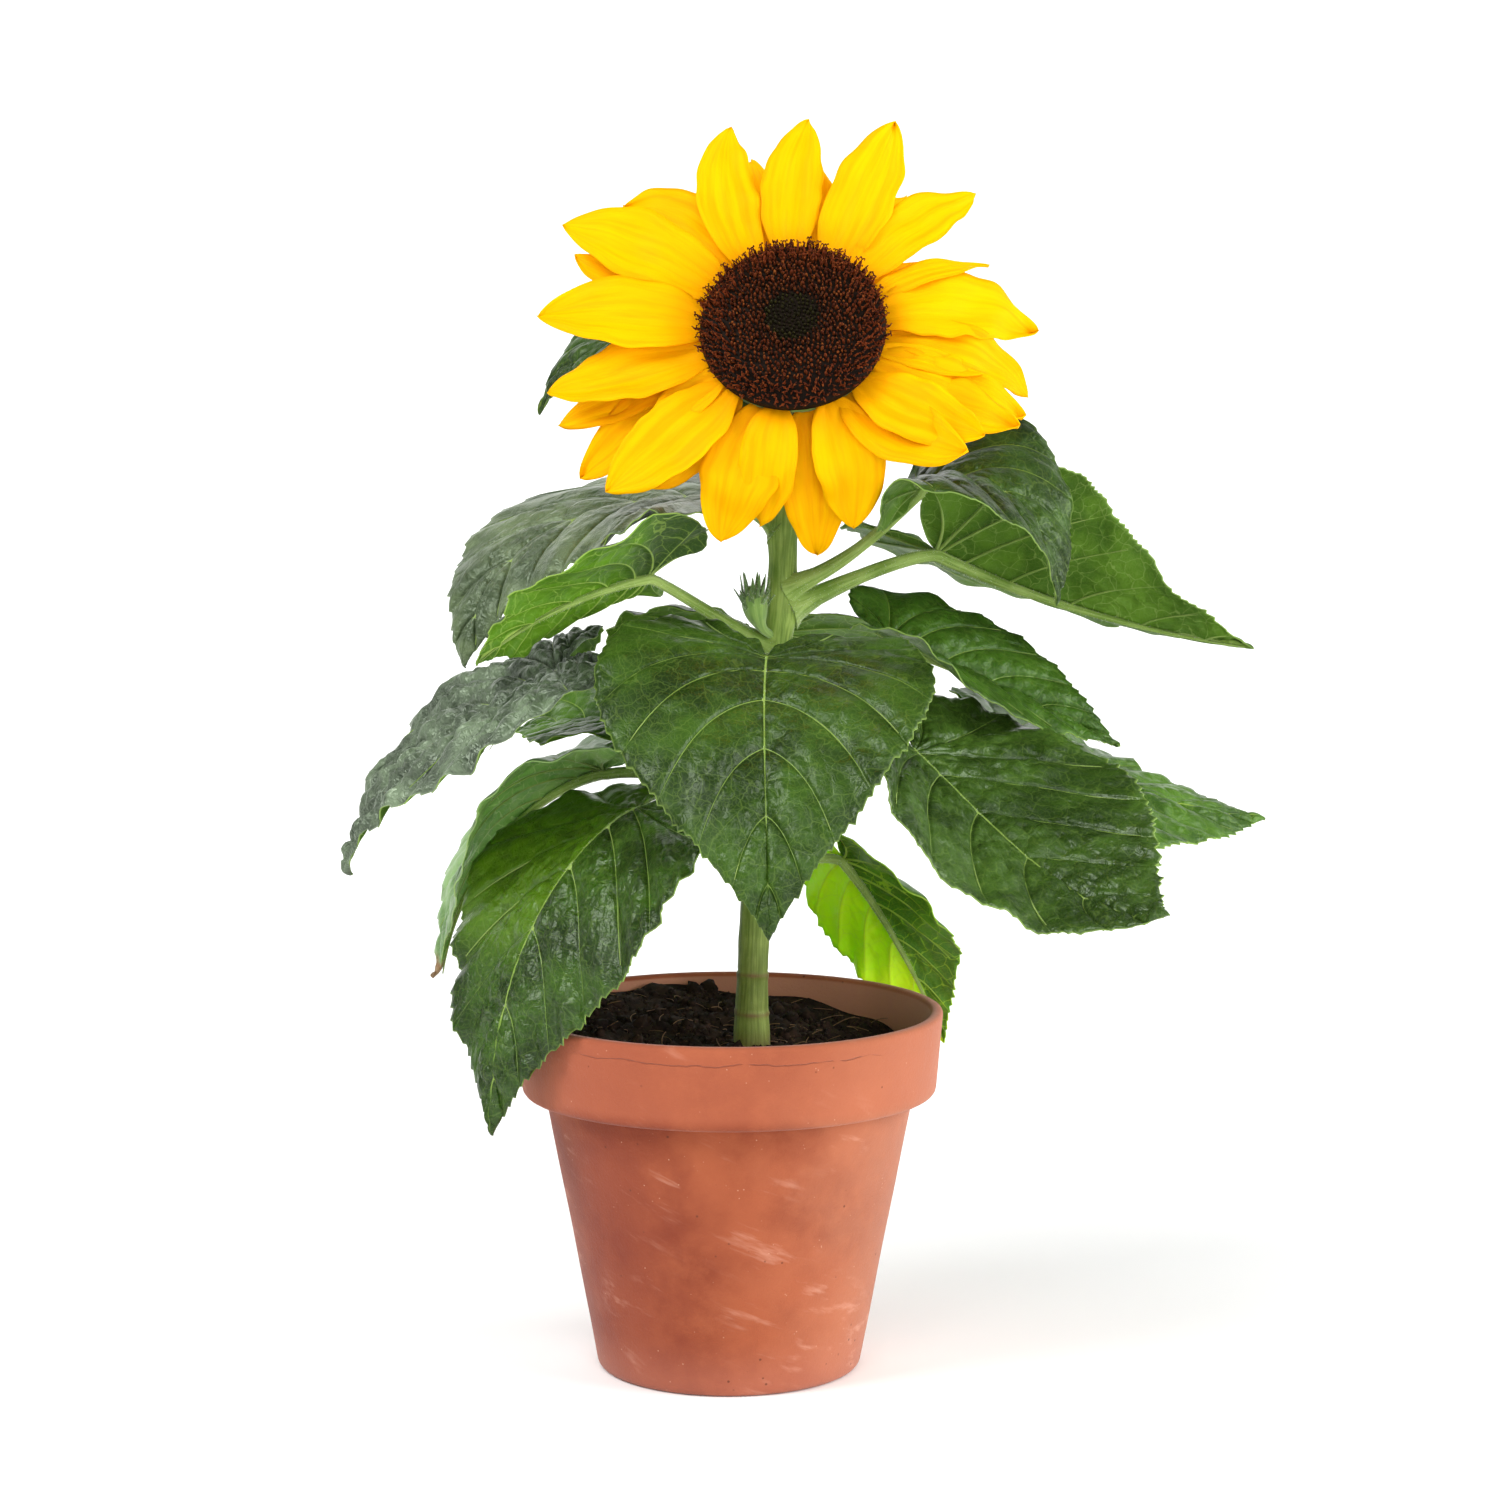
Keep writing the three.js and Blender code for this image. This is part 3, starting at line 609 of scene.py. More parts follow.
SOIL_RINGS, SOIL_SIDES = 44, 150
wall_turn = np.linspace(0, 2 * math.pi, SOIL_SIDES + 1)
wall_z = soil_height(77 * np.cos(wall_turn), 77 * np.sin(wall_turn))
wall_r = np.interp(wall_z, POT_INSIDE_Z, POT_INSIDE_R)
rings = []
for reach in np.linspace(1, 0, SOIL_RINGS):
    x = between(STEM_FOOT[0], wall_r * np.cos(wall_turn), reach)
    y = between(STEM_FOOT[1], wall_r * np.sin(wall_turn), reach)
    lumps = 1.0 * ripple(x, y, 13, 21) + 0.7 * ripple(x, y, 5, 22)
    flat = np.clip((reach - 0.1) / 0.2, 0, 1)
    rings.append(np.stack([x, y, soil_height(x, y) + lumps * flat * (reach < 0.99)], -1))
for r, z in zip(POT_INSIDE_R[2::-1], POT_INSIDE_Z[2::-1]):
    rings.insert(0, np.stack([r * np.cos(wall_turn), r * np.sin(wall_turn), np.full_like(wall_turn, z)], -1))
rings.insert(0, rings[0] * [0, 0, 1])
soil_points = np.concatenate(rings)
soil_triangles = grid_triangles(len(rings), SOIL_SIDES + 1)
chosen, soil_triangles = joined(soil_triangles, soil_points)
soil_points = soil_points[chosen]

# %% Damp dark earth
earth = Finish("potting soil", roughness=0.95, specular_ior_level=0.2)
spot = earth.place()
earth.base(earth.ease(earth.noise(spot, 7, 5, 0.7), 0.35, 0.7), "1b1310", "3b2a21")
earth.lay(earth.ease(earth.noise(spot, 2.1, 3, 0.6), 0.62, 0.75) * 0.6, "6b5140")
earth.coat(None, earth.noise(spot, 1.3, 4, 0.7), 0.5)
straw = Finish("plant fibre", roughness=0.8)
straw.base(straw.noise(straw.place(), 5), "5b4230", "8c6a4a")
straw.coat()

soil = add_mesh("soil_bed", soil_points, soil_triangles, [earth.material])
hand_over(soil, "potting_soil", "soil")

# %% Crumbs: points strewn on the bed, each a small lump that a noise has bent
crumbs = Recipe("crumbs", per_area=1.0, smallest=1.0, largest=1.0, crumple=1.0, seed=1)
lump = crumbs.node("GeometryNodeMeshIcoSphere", None, {"Radius": 0.5, "Subdivisions": 2})
turned = crumbs.random((0, 0, 0), (6.3, 6.3, 6.3), 5, "FLOAT_VECTOR")
size = crumbs.random(0.0, 1.0, 6) ** 3 * (crumbs.input("largest") - crumbs.input("smallest"))
squash = crumbs.random((0.6, 0.6, 0.5), (1.2, 1.2, 0.9), 7, "FLOAT_VECTOR")
scale = crumbs.vector("SCALE", squash, Scale=size + crumbs.input("smallest"))
placed = crumbs.placed(crumbs.strewn(), lump, turned, scale)
real = crumbs.node("GeometryNodeRealizeInstances", None, {"Geometry": placed})
wild = crumbs.node("ShaderNodeTexNoise", None, {"Scale": 1100.0, "Detail": 3.0}, "Color")
wild = crumbs.vector("SUBTRACT", wild, (0.5, 0.5, 0.5))
push = crumbs.vector("SCALE", wild, Scale=crumbs.input("crumple"))
crumbs.finish(crumbs.node("GeometryNodeSetPosition", None, {"Geometry": real, "Offset": push}))

bed = bpy.data.meshes.new("open bed")
heights = soil_points[soil_triangles][:, :, 2].min(1)
spread = np.hypot(soil_points[:, 0], soil_points[:, 1])[soil_triangles].max(1)
open_bed = soil_triangles[(heights > 112) & (spread < 75)]
bed.from_pydata((soil_points * MM).tolist(), [], open_bed.tolist())
for name, per_area, smallest, largest, crumple, seed in [
    ("soil_crumbs", 1.05e5, 0.9, 4.2, 2.4, 4), ("soil_lumps", 8.0e3, 4.0, 9.0, 6.5, 9),
]:
    strewn = grown(
        name, crumbs, bed, per_area=per_area, smallest=smallest * MM, largest=largest * MM,
        crumple=crumple * MM, seed=seed, material=earth.material,
    )
    hand_over(strewn, "potting_soil")

# %% Fibres: short bent threads that lie every way on the crumbs
fibres = Recipe("fibres", per_area=1.0, length=1.0, width=1.0, seed=1)
thread = fibres.node(
    "GeometryNodeCurveQuadraticBezier", None,
    {"Resolution": 6, "Start": (-0.5, 0, 0), "Middle": (0, 0.25, 0.14), "End": (0.5, 0, 0.05)},
)
section = fibres.node("GeometryNodeCurvePrimitiveCircle", None, {"Resolution": 3, "Radius": 0.022})
sockets = {"Curve": thread, "Profile Curve": section, "Fill Caps": True}
thread = fibres.node("GeometryNodeCurveToMesh", None, sockets)
turned = fibres.random((-0.5, -0.5, 0), (0.5, 0.5, 6.3), 3, "FLOAT_VECTOR")
scale = fibres.random(0.4, 1.3, 4) * fibres.input("length")
placed = fibres.placed(fibres.strewn(), thread, turned, scale)
fibres.finish(fibres.node("GeometryNodeSetPosition", None, {"Geometry": placed, "Offset": (0, 0, 0.0012)}))
threads = grown("soil_fibres", fibres, bed, per_area=7.0e3, length=9 * MM, seed=2, material=straw.material)
hand_over(threads, "potting_soil")

# %% [markdown]
# ## The stem
#
# The stem is a tapering limb with faint ridges along it. It swells a little where a leaf stalk joins, and two
# brown rings near the soil show where the first leaves have dropped. It is made as rings of points along its
# centre line, with each of those marks added to the radius.

# %% Stem line
STEM_LINE = np.array([
    (9, 0, 127), (9, 0, 150), (11, 1, 200), (15, 2, 250), (20, 3, 300), (22, 4, 335), (23, 2, 365),
    (24, -8, 392),
], float)
STEM_R = [7.6, 6, 6, 6.2, 5.8, 5.2, 5.2, 5.6]
HEAD_AT = np.array([24.5, -35, 412.0])
HEAD_TILT = 31
HEAD_YAW = -4
CALYX_DEPTH = 26
SCARS_Z = [142, 157]

tilt, yaw = math.radians(HEAD_TILT), math.radians(HEAD_YAW)
facing = np.array([math.sin(yaw) * math.cos(tilt), -math.cos(yaw) * math.cos(tilt), math.sin(tilt)])
rightward = np.array([math.cos(yaw), math.sin(yaw), 0])
HEAD_FRAME = np.stack([rightward, np.cross(facing, rightward), facing])


def on_head(points):
    """Points from the flower head's own frame to the plant's."""
    return np.asarray(points, float) @ HEAD_FRAME + HEAD_AT


def direction(heading, slope):
    heading, slope = np.radians(heading), np.radians(slope)
    return np.stack([np.cos(slope) * np.cos(heading), np.cos(slope) * np.sin(heading), np.sin(slope)], -1)


def stem_at(z):
    """Centre and radius of the stem at a height."""
    centre = np.array([np.interp(z, STEM_LINE[:, 2], STEM_LINE[:, axis]) for axis in (0, 1)] + [z])
    return centre, np.interp(z, STEM_LINE[:, 2], STEM_R)


def smooth_line(points, count):
    """A line through the points with rounded bends, at evenly spaced places."""
    points = np.asarray(points, float)
    for _ in range(4):
        cut = np.stack([between(points[:-1], points[1:], 0.25), between(points[:-1], points[1:], 0.75)], 1)
        points = np.concatenate([points[:1], cut.reshape(-1, points.shape[1]), points[-1:]])
    length = np.concatenate([[0], np.cumsum(np.linalg.norm(np.diff(points[:, :3], axis=0), axis=1))])
    places = np.linspace(0, length[-1], count)
    return np.stack([np.interp(places, length, points[:, axis]) for axis in range(points.shape[1])], -1)


# %% Stalk green and stem green
def skin_finish(name, dark, light, hairy):
    """Soft green skin with long streaks, laid round and along the limb. The hairs themselves are meshes."""
    skin = Finish(
        name, roughness=0.55, specular_ior_level=0.3, sheen_weight=hairy,
        subsurface_weight=0.1, subsurface_scale=0.002, subsurface_radius=(0.6, 1.0, 0.3),
    )
    spot = skin.place()
    run = skin.xyz(z=skin.attribute("run") * 0.1)
    round_limb = skin.vector("SCALE", skin.attribute("around", "Vector"), Scale=5.0)
    streak = skin.noise(skin.vector("ADD", round_limb, run), 1.6, 3, 0.6)
    patch = skin.noise(spot, 16, 3)
    skin.base(skin.ease(streak * 0.6 + patch * 0.5, 0.4, 0.72), dark, light)
    skin.lay(skin.attribute("brown"), "7a6038")
    skin.coat(None, streak + skin.noise(spot, 0.6) * 0.3, 0.25)
    return skin.material


stem_skin = skin_finish("stem skin", "628029", "9ab356", 0.1)
stalk_skin = skin_finish("stalk skin", "6c8b30", "a0b962", 0.1)

# %% [markdown]
# ## Leaves
#
# A sunflower leaf is a heart on a stalk: it droops along its midrib, its halves fold and curl, and its edge
# is toothed. One rule makes all sixteen from the same short list of sizes that shaped the CAD blades, so each
# detailed leaf lies on its plain one. A point of a blade is found from two shares: `q` goes round the outline
# from stalk to tip, and `t` goes along a side vein from the midrib to the edge. Rows of equal `q` follow the
# veins, so the tissue can swell between them just as it does on the living leaf.

# %% The leaves of this plant
# at: height on the stem; heading: 0 is to the right and 90 to the back; sway: how far the stalk turns;
# stalk: its length; rise: its slope at both ends; blade: length and half width; hang: slope at the blade's
# foot, change of slope to the tip and how late it comes; turn: how the midrib bends sideways; lean: roll at
# the foot and twist to the tip; fold and curl: of the left and the right half; wave: height and phase of the
# edge.
Leaf = namedtuple("Leaf", "at heading sway stalk rise blade hang turn lean fold curl wave finish")
LEAVES = {
    "front": Leaf(265, -91, -2, 60, (42, 4), (132, 63), (-16, -69, 1), 9, (5, -16), (12, 15), (-12, -23),
                  (0, 0), "deep"),
    "low_left": Leaf(204.5, 210, -8, 57, (44, 3), (147, 67), (-17, -75, 0.6), 1, (-1, 28), (-13, -12),
                     (7, 25), (0, 0), "low"),
    "low_left_back": Leaf(227.5, 150, 5, 72, (12, 0), (121, 55), (-12, -72, 0.8), 36, (-2, 13), (16, 18),
                          (-16, -8), (0, 0), "dry_tip"),
    "left": Leaf(251, 182, -1, 87, (34, 3), (123, 50), (-25, -42, 1.3), -14, (16, 8), (12, 8), (-15, -16),
                 (4, 0.2), "crumpled"),
    "upper_left": Leaf(331, 169, 0, 29, (42, 19), (137, 62), (-1, -86, 1.7), 50, (10, 12), (5, -2), (6, -9),
                       (1.5, 0), "silver"),
    "left_stalked": Leaf(285, 186, 29, 61, (30, 33), (80, 43.5), (-6, -37, 0.87), -51, (-4, 7), (29, -42),
                         (0, 64), (3, 0.1), "stalked"),
    "right_big": Leaf(300, 20, 5, 71, (25, 14), (140, 69), (-25, 21, 1.3), -65, (22, 15), (22, 18), (0, 0),
                      (0, 0), "mid"),
    "upper_right": Leaf(309, -20, -7, 70, (20, 51), (90, 41), (58, -150, 0.6), 9, (-3, 13), (26, 0),
                        (5, -10), (3, -0.2), "deep"),
    "right_folded": Leaf(268, 9, -1, 51, (41, 11), (104, 39), (-21, -8, 0.7), -8, (-28, -29), (21, 33),
                         (-45, 0), (1, 0), "mid"),
    "low_right": Leaf(230, -30, -8, 74, (35, -1), (156, 64), (-36, 54, 2), -27, (6, -39), (7, 4), (16, 32),
                      (0, 0), "glossy"),
    "right_back": Leaf(241, 16, 3, 104, (16, -7), (126, 50), (-29, 21, 1.1), 7, (-20, -8), (-3, -5), (0, 0),
                       (2, 0), "fresh"),
    "back_low": Leaf(196, 48, -10, 48, (14, -6), (106, 33), (-44, -13, 0.4), 17, (4, 34), (0, 0), (0, -22),
                     (0, 0), "painted_glow"),
    "top_left_back": Leaf(378, 154, 3, 53, (46, 27), (78, 33), (8, -73, 1.1), 6, (26, 12), (5, 11),
                          (-20, -17), (2, 0), "deep"),
    "back_left": Leaf(251, 132, 8, 70, (9, -4), (74, 36), (-3, -12, 1), 0, (13, 7), (5, 24), (0, 0), (1, 0),
                      "fresh"),
    "back": Leaf(264, 95, 3, 64, (38, 5), (128, 58), (-20, -58, 1), -8, (-4, 8), (12, 12), (-18, -20),
                 (3, 0.1), "deep"),
    "back_upper": Leaf(338, 78, 0, 40, (42, 20), (92, 42), (12, -58, 1.1), 6, (6, 8), (8, 10), (-18, -18),
                       (2, 0), "deep"),
}

# %% The flat leaf: its outline and its veins
LOBE_SHARE = 0.4  # share of the outline that goes round the heart-shaped lobe
VEINS = [0.14, 0.3, 0.46, 0.58, 0.69, 0.79, 0.88, 0.95]  # where side veins meet the outline


def bezier(points, share):
    points = [np.asarray(p, float) for p in points]
    share = np.asarray(share, float)[..., None]
    while len(points) > 1:
        points = [between(a, b, share) for a, b in zip(points, points[1:])]
    return points[0]


def leaf_edge(q):
    """Half of the outline: x in half widths, y in blade lengths, from the stalk to the tip."""
    q = np.asarray(q, float)
    lobe = bezier([(0, 0), (0.3, -0.3), (1, -0.17), (1, 0.22)], np.clip(q / LOBE_SHARE, 0, 1))
    past_lobe = np.clip((q - LOBE_SHARE) / (1 - LOBE_SHARE), 0, 1)
    flank = bezier([(1, 0.22), (1, 0.5), (0.26, 0.76), (0, 1)], past_lobe)
    return np.where((q < LOBE_SHARE)[..., None], lobe, flank)


def vein_point(q, t):
    edge = leaf_edge(q)
    start = 0.03 * q + 0.97 * np.clip((q - 0.42) / 0.58, 0, 1) ** 1.9
    middle = np.stack([0.62 * edge[..., 0], between(start, edge[..., 1], 0.22)], -1)
    return bezier([np.stack([start * 0, start], -1), middle, edge], t)


# %% Rolled corners
# Where a lobe, an edge or a tip rolls up (or down, with a radius below 0): the line on the flat blade where
# it starts, as x, y and the way it faces in degrees, and the radius of the roll, in millimetres.
ROLLS = {
    "low_right": [(-20, 138, 150, 9)],
    "left": [(0, 112, 90, -16), (28, 6, -30, -9)],
    "right_folded": [(0, 98, 80, 10)],
    "low_left_back": [(0, 112, 80, 7)],
}

# %% The leaf in space: a stalk, a midrib that goes on from it, and a frame at each place on the midrib
STATIONS = 96


def sweep(start, heading, slope, length):
    ahead = direction(heading, slope)
    steps = ahead[1:] + ahead[:-1]
    steps *= length / STATIONS / np.linalg.norm(steps, axis=1, keepdims=True)
    return np.concatenate([[start], start + np.cumsum(steps, 0)]), ahead


def leaf_lines(name):
    leaf = LEAVES[name]
    s = np.linspace(0, 1, STATIONS + 1)
    root, root_r = stem_at(leaf.at)
    stalk, _ = sweep(root, leaf.heading + leaf.sway * s, between(*leaf.rise, s), leaf.stalk)
    heading = leaf.heading + leaf.sway + leaf.turn * s
    rib, ahead = sweep(stalk[-1], heading, leaf.hang[0] + leaf.hang[1] * s ** leaf.hang[2], leaf.blade[0])
    side = direction(heading - 90, 0 * s)
    up = np.cross(side, ahead)
    roll = np.radians(leaf.lean[0] + leaf.lean[1] * s)[:, None]
    right = side * np.cos(roll) + up * np.sin(roll)
    above = up * np.cos(roll) - side * np.sin(roll)
    return {
        "root_r": root_r, "stalk": stalk, "rib": rib, "ahead": ahead, "right": right, "above": above,
        "rolls": ROLLS.get(name, []),
    }


def at_share(values, share):
    """A row of the array at a share of its length, between two rows where it falls there."""
    place = np.clip(share, 0, 1) * STATIONS
    i = np.minimum(place.astype(int), STATIONS - 1)
    return between(values[i], values[i + 1], (place - i)[..., None])


def blade_place(leaf, lines, across, along, hand, lift=0.0):
    """Where a point of the flat blade is on the hanging one. Lift is millimetres above the sheet."""
    length, half_width = leaf.blade
    which = 1 if hand > 0 else 0
    for x0, y0, heading, radius in lines["rolls"]:
        way_x, way_y = math.cos(math.radians(heading)), math.sin(math.radians(heading))
        past = np.maximum((hand * across * half_width - x0) * way_x + (along * length - y0) * way_y, 0)
        turn = past / abs(radius)
        shift = abs(radius) * np.sin(turn) - past - math.copysign(1, radius) * lift * np.sin(turn)
        across = across + hand * shift * way_x / half_width
        along = along + shift * way_y / length
        lift = lift * np.cos(turn) + radius * (1 - np.cos(turn))
    centre = at_share(lines["rib"], along)
    centre = centre + at_share(lines["ahead"], along) * (np.minimum(along, 0) * length)[..., None]
    x = across * half_width
    start, bend = math.radians(leaf.fold[which]), math.radians(leaf.curl[which]) / half_width
    bend = bend if abs(bend) > 1e-9 else 1e-9  # a flat half, without dividing by 0
    angle = start + bend * x
    reach = (np.sin(angle) - math.sin(start)) / bend
    rise = (math.cos(start) - np.cos(angle)) / bend
    phase = 2 * math.pi * (1.5 * along + leaf.wave[1] + (0.25 if hand > 0 else 0))
    rise = rise + leaf.wave[0] * across**2 * np.sin(phase)
    reach = reach - lift * np.sin(angle)
    rise = rise + lift * np.cos(angle)
    offset = at_share(lines["right"], along) * (hand * reach)[..., None]
    return centre + offset + at_share(lines["above"], along) * rise[..., None]


# %% Cushions of tissue between the finer veins
def cushions(x, y, size, seed):
    """0 in the creases and 1 on the tops of rounded cushions of about one size, laid at random."""
    draw = np.random.default_rng(seed)
    columns, rows = (np.arange(v.min() - size, v.max() + size, size) for v in (x, y))
    seeds = np.stack(np.meshgrid(columns, rows), -1).reshape(-1, 2)
    seeds = seeds + draw.uniform(-0.45, 0.45, seeds.shape) * size
    reach = np.linalg.norm(np.stack([x, y], -1)[..., None, :] - seeds, axis=-1)
    nearest = np.partition(reach, 1, axis=-1)[..., :2]
    inside = np.clip((nearest[..., 1] - nearest[..., 0]) / size / 0.8, 0, 1)
    return 1 - (1 - inside) ** 2


# %% The detailed sheet of one leaf
ROWS_BETWEEN_VEINS = 20
COLUMNS = 24
TOOTH_PITCH = 5.2
TOOTH_DEPTH = 1.6
USUAL_LENGTH = 140  # teeth, rows and ribs are scaled from a blade of this length
# How rugged some blades are, and how deep their veins lie and how far their edges wander, in millimetres.
CRUMPLE = {"left": 2.6, "upper_left": 0.9, "low_left_back": 1.5, "low_right": 1.75, "low_left": 1.4}
CREASE = {"upper_left": 0.9, "left": 0.6, "left_stalked": 0.9}
FRILL = {"left": 2.2, "left_stalked": 1.7, "upper_left": 2.0, "low_left": 2.0}


def leaf_sheet(name, leaf, lines, seed):
    """Points, triangles and the facts that the leaf's finish needs, all for the open sheet."""
    length, half_width = leaf.blade
    per_vein = max(8, round(ROWS_BETWEEN_VEINS * length / USUAL_LENGTH))
    marks = np.array([0, *VEINS, 1])
    q = np.concatenate([np.linspace(a, b, per_vein + 1)[:-1] for a, b in zip(marks, marks[1:])] + [[1.0]])
    t = np.linspace(0, 1, COLUMNS) ** 0.92
    q_grid, t_grid = np.meshgrid(q, t, indexing="ij")
    scale = np.array([half_width, length])
    crumple = CRUMPLE.get(name, 1.0)

    edge = leaf_edge(q) * scale
    heading = np.gradient(edge, axis=0)
    heading /= np.maximum(np.linalg.norm(heading, axis=1, keepdims=True), 1e-6)
    outward = np.stack([heading[:, 1], -heading[:, 0]], -1)
    run = np.concatenate([[0], np.cumsum(np.linalg.norm(np.diff(edge, axis=0), axis=1))])

    sheets = []
    for hand in (1, -1):
        # the edge, with teeth
        flat = vein_point(q_grid, t_grid) * scale
        beat = run / TOOTH_PITCH + 0.5 * ripple(run, 0 * run, 40, seed + hand)
        tooth = (beat % 1) ** 1.6 * np.clip((q - 0.08) / 0.06, 0, 1) * np.clip((1 - q) / 0.12, 0, 1)
        deep = TOOTH_DEPTH * length / USUAL_LENGTH * (1 + 0.45 * ripple(run, 0 * run, 14, seed + 5))
        flat = flat + outward[:, None] * (tooth * deep)[:, None, None] * (t_grid**9)[..., None]

        # how far each point is from the nearest side vein
        veins = np.arange(len(marks)) * per_vein
        before = flat[np.repeat(veins[:-1], per_vein)]
        after = flat[np.repeat(veins[1:], per_vein)]
        rows = flat[:-1]
        near = np.minimum(np.linalg.norm(rows - before, axis=2), np.linalg.norm(rows - after, axis=2))
        gap = np.linalg.norm(after - before, axis=2)
        near = np.concatenate([near, near[-1:] * 0])
        gap = np.concatenate([gap, gap[-1:] * 0])
        share = np.concatenate([np.tile(np.arange(per_vein) / per_vein, len(marks) - 1), [0.0]])

        # tissue that swells between the veins, in cushions, and an edge that wanders up and down
        x, y = flat[..., 0], flat[..., 1]
        swell = np.sin(math.pi * share)[:, None] ** 0.8 * np.sin(math.pi * t_grid**0.8) ** 0.5
        lift = swell * np.clip(gap * 0.07, 0, 1.5)
        rungs = np.sin(2 * math.pi * (t_grid * gap.max() / 6 + 0.4 * ripple(x, y, 18, seed)))
        lift = lift + 0.1 * crumple**2 * rungs * swell
        rugged = np.clip(0.35 + 0.5 * ripple(hand * x, y, 50, seed + 4), 0.1, 1)
        rugged = np.maximum(rugged, 0.9 * np.exp(-((x / half_width / 0.4) ** 2)))
        rugged = rugged ** (1 / crumple)
        lift = lift + 1.4 * crumple * rugged * cushions(hand * x, y, 9, seed + 2) * swell**0.5
        lift = lift + 0.8 * ripple(hand * x, y, 42, seed + 3) * t_grid
        frill = ripple(run, 0 * run, 17, seed + 7 + hand)[:, None]
        lift = lift + FRILL.get(name, 1.3) * frill * t_grid**4 * np.clip((1 - q_grid) / 0.2, 0, 1)
        lift = lift - CREASE.get(name, 0.3) * np.exp(-((near / 0.9) ** 2)) * np.clip((1 - t_grid) / 0.1, 0, 1)
        lift = lift * np.clip(np.hypot(x, y) / 8, 0, 1)
        place = blade_place(leaf, lines, x / half_width, y / length, hand, lift)
        flat_key = np.stack([hand * x, y], -1)
        facts = np.stack([near, x, t_grid, y / length], -1)
        sheets.append((place.reshape(-1, 3), flat_key.reshape(-1, 2), facts.reshape(-1, 4)))

    points, flat, facts = (np.concatenate([sheet[k] for sheet in sheets]) for k in range(3))
    shape = q_grid.shape
    triangles = np.concatenate([grid_triangles(*shape), grid_triangles(*shape, q_grid.size, True)])
    chosen, triangles = joined(triangles, flat)
    flat = np.concatenate([flat, np.full((len(flat), 1), seed * 6.1)], 1)
    return points[chosen], triangles, flat[chosen], facts[chosen]


# %% [markdown]
# ### Leaf green
#
# Above, a leaf is dark and a little glossy, with thin pale veins; below it is paler, duller and more yellow,
# with veins that stand out. The finish reads how far each point is from the midrib and from the nearest side
# vein, which the mesh carries as attributes, and adds the finer net with Voronoi cells laid flat on the
# blade.

# %% Leaf finish
NET, FINE_NET = 8.0, 1.9  # mesh widths of the two nets of veins, in millimetres


def leaf_finish(name, dark, light, vein, gloss, depth, shine=0.34, glow=0.0, dry=0.0, left=None, hairy=0.0):
    """One side of a leaf. Depth is how high its swellings stand, in millimetres; below 0 they are hollows.
    Dry is the share of the length from which it is brown. Left is another colour for one half, the share of
    the length that it reaches from the stalk, and which half."""
    skin = Finish(
        name, specular_ior_level=shine, specular_tint=paint("e2f2d8"), sheen_weight=hairy,
        sheen_tint=paint("dcead0"), subsurface_weight=glow, subsurface_scale=0.0015,
        subsurface_radius=(0.5, 1.0, 0.2),
    )
    flat = skin.attribute("flat", "Vector")
    side, mid = skin.attribute("side_mm"), skin.attribute("mid_mm")
    reach, along = skin.attribute("reach"), skin.attribute("along")
    sockets = {"Vector": flat, "Scale": 0.16, "Detail": 2.0}
    swirl = skin.node("ShaderNodeTexNoise", None, sockets, "Color")
    swirl = skin.vector("SCALE", skin.vector("SUBTRACT", swirl, (0.5, 0.5, 0.5)), Scale=5.0)
    bent = skin.vector("ADD", flat, swirl)
    net, fine_net = skin.cells(bent, NET), skin.cells(bent, FINE_NET)
    midrib = skin.ease(mid - (1 - along) * 0.25, 0.32, 0.1) * skin.ease(along, 1.0, 0.9, 0.3, 1.0)
    sides = skin.ease(side - (1 - reach) * 0.14, 0.22, 0.04) * skin.ease(reach, 0.98, 0.8, 0.3, 1.0)
    rungs = skin.ease(net, 0.03, 0.006) * (0.17 if depth > 0 else 0.42)
    threads = skin.ease(fine_net, 0.07, 0.02) * 0.1
    veins = midrib.top(sides * 0.8).top(rungs).top(threads).top(skin.ease(reach, 0.988, 1.0) * 0.5)
    skin.base(skin.ease(skin.noise(flat, 24, 3, 0.55), 0.35, 0.65), dark, light)
    skin.lay(skin.ease(skin.noise(flat, 3.0, 3, 0.6), 0.5, 0.8) * 0.25, light)
    # on the low leaf and the lime leaf this one-half colour is a painted glow, light shining through the leaf
    if left:
        colour, end, half = left
        on_half = skin.ease(skin.parts(flat).out("X"), half, -half)
        skin.lay(on_half * skin.ease(along, end + 0.1, end - 0.05), colour)
    lump = skin.noise(bent, 7.0, 2, 0.4)
    # painted shade: the hollows between the swellings are darkened
    if depth > 0:  # hollows look darker
        skin.lay(skin.ease(lump, 0.52, 0.36) * min(0.7, 0.24 * depth), dark)
    skin.lay(veins, vein)
    if dry:
        skin.lay(skin.ease(along + skin.noise(flat, 12) * 0.06, dry, dry + 0.05), "8a6a48")
    puckered = skin.ease(skin.noise(flat, 32, 2), 0.44, 0.6).top(skin.ease(mid, 22, 5) * 0.8)
    lumps = lump * (puckered * 1.3 + 0.4)
    creases = skin.ease(net, 0.0, 0.3) * (puckered * 0.16 + 0.07) + skin.ease(side, 0.0, 1.6) * 0.2
    creases = creases + skin.ease(fine_net, 0.0, 0.3) * 0.05
    matt = skin.ease(skin.noise(flat, 8, 3), 0.35, 0.7, gloss, gloss + 0.12)
    return skin.coat(matt, lumps + creases + skin.noise(flat, 0.6) * 0.03, depth)


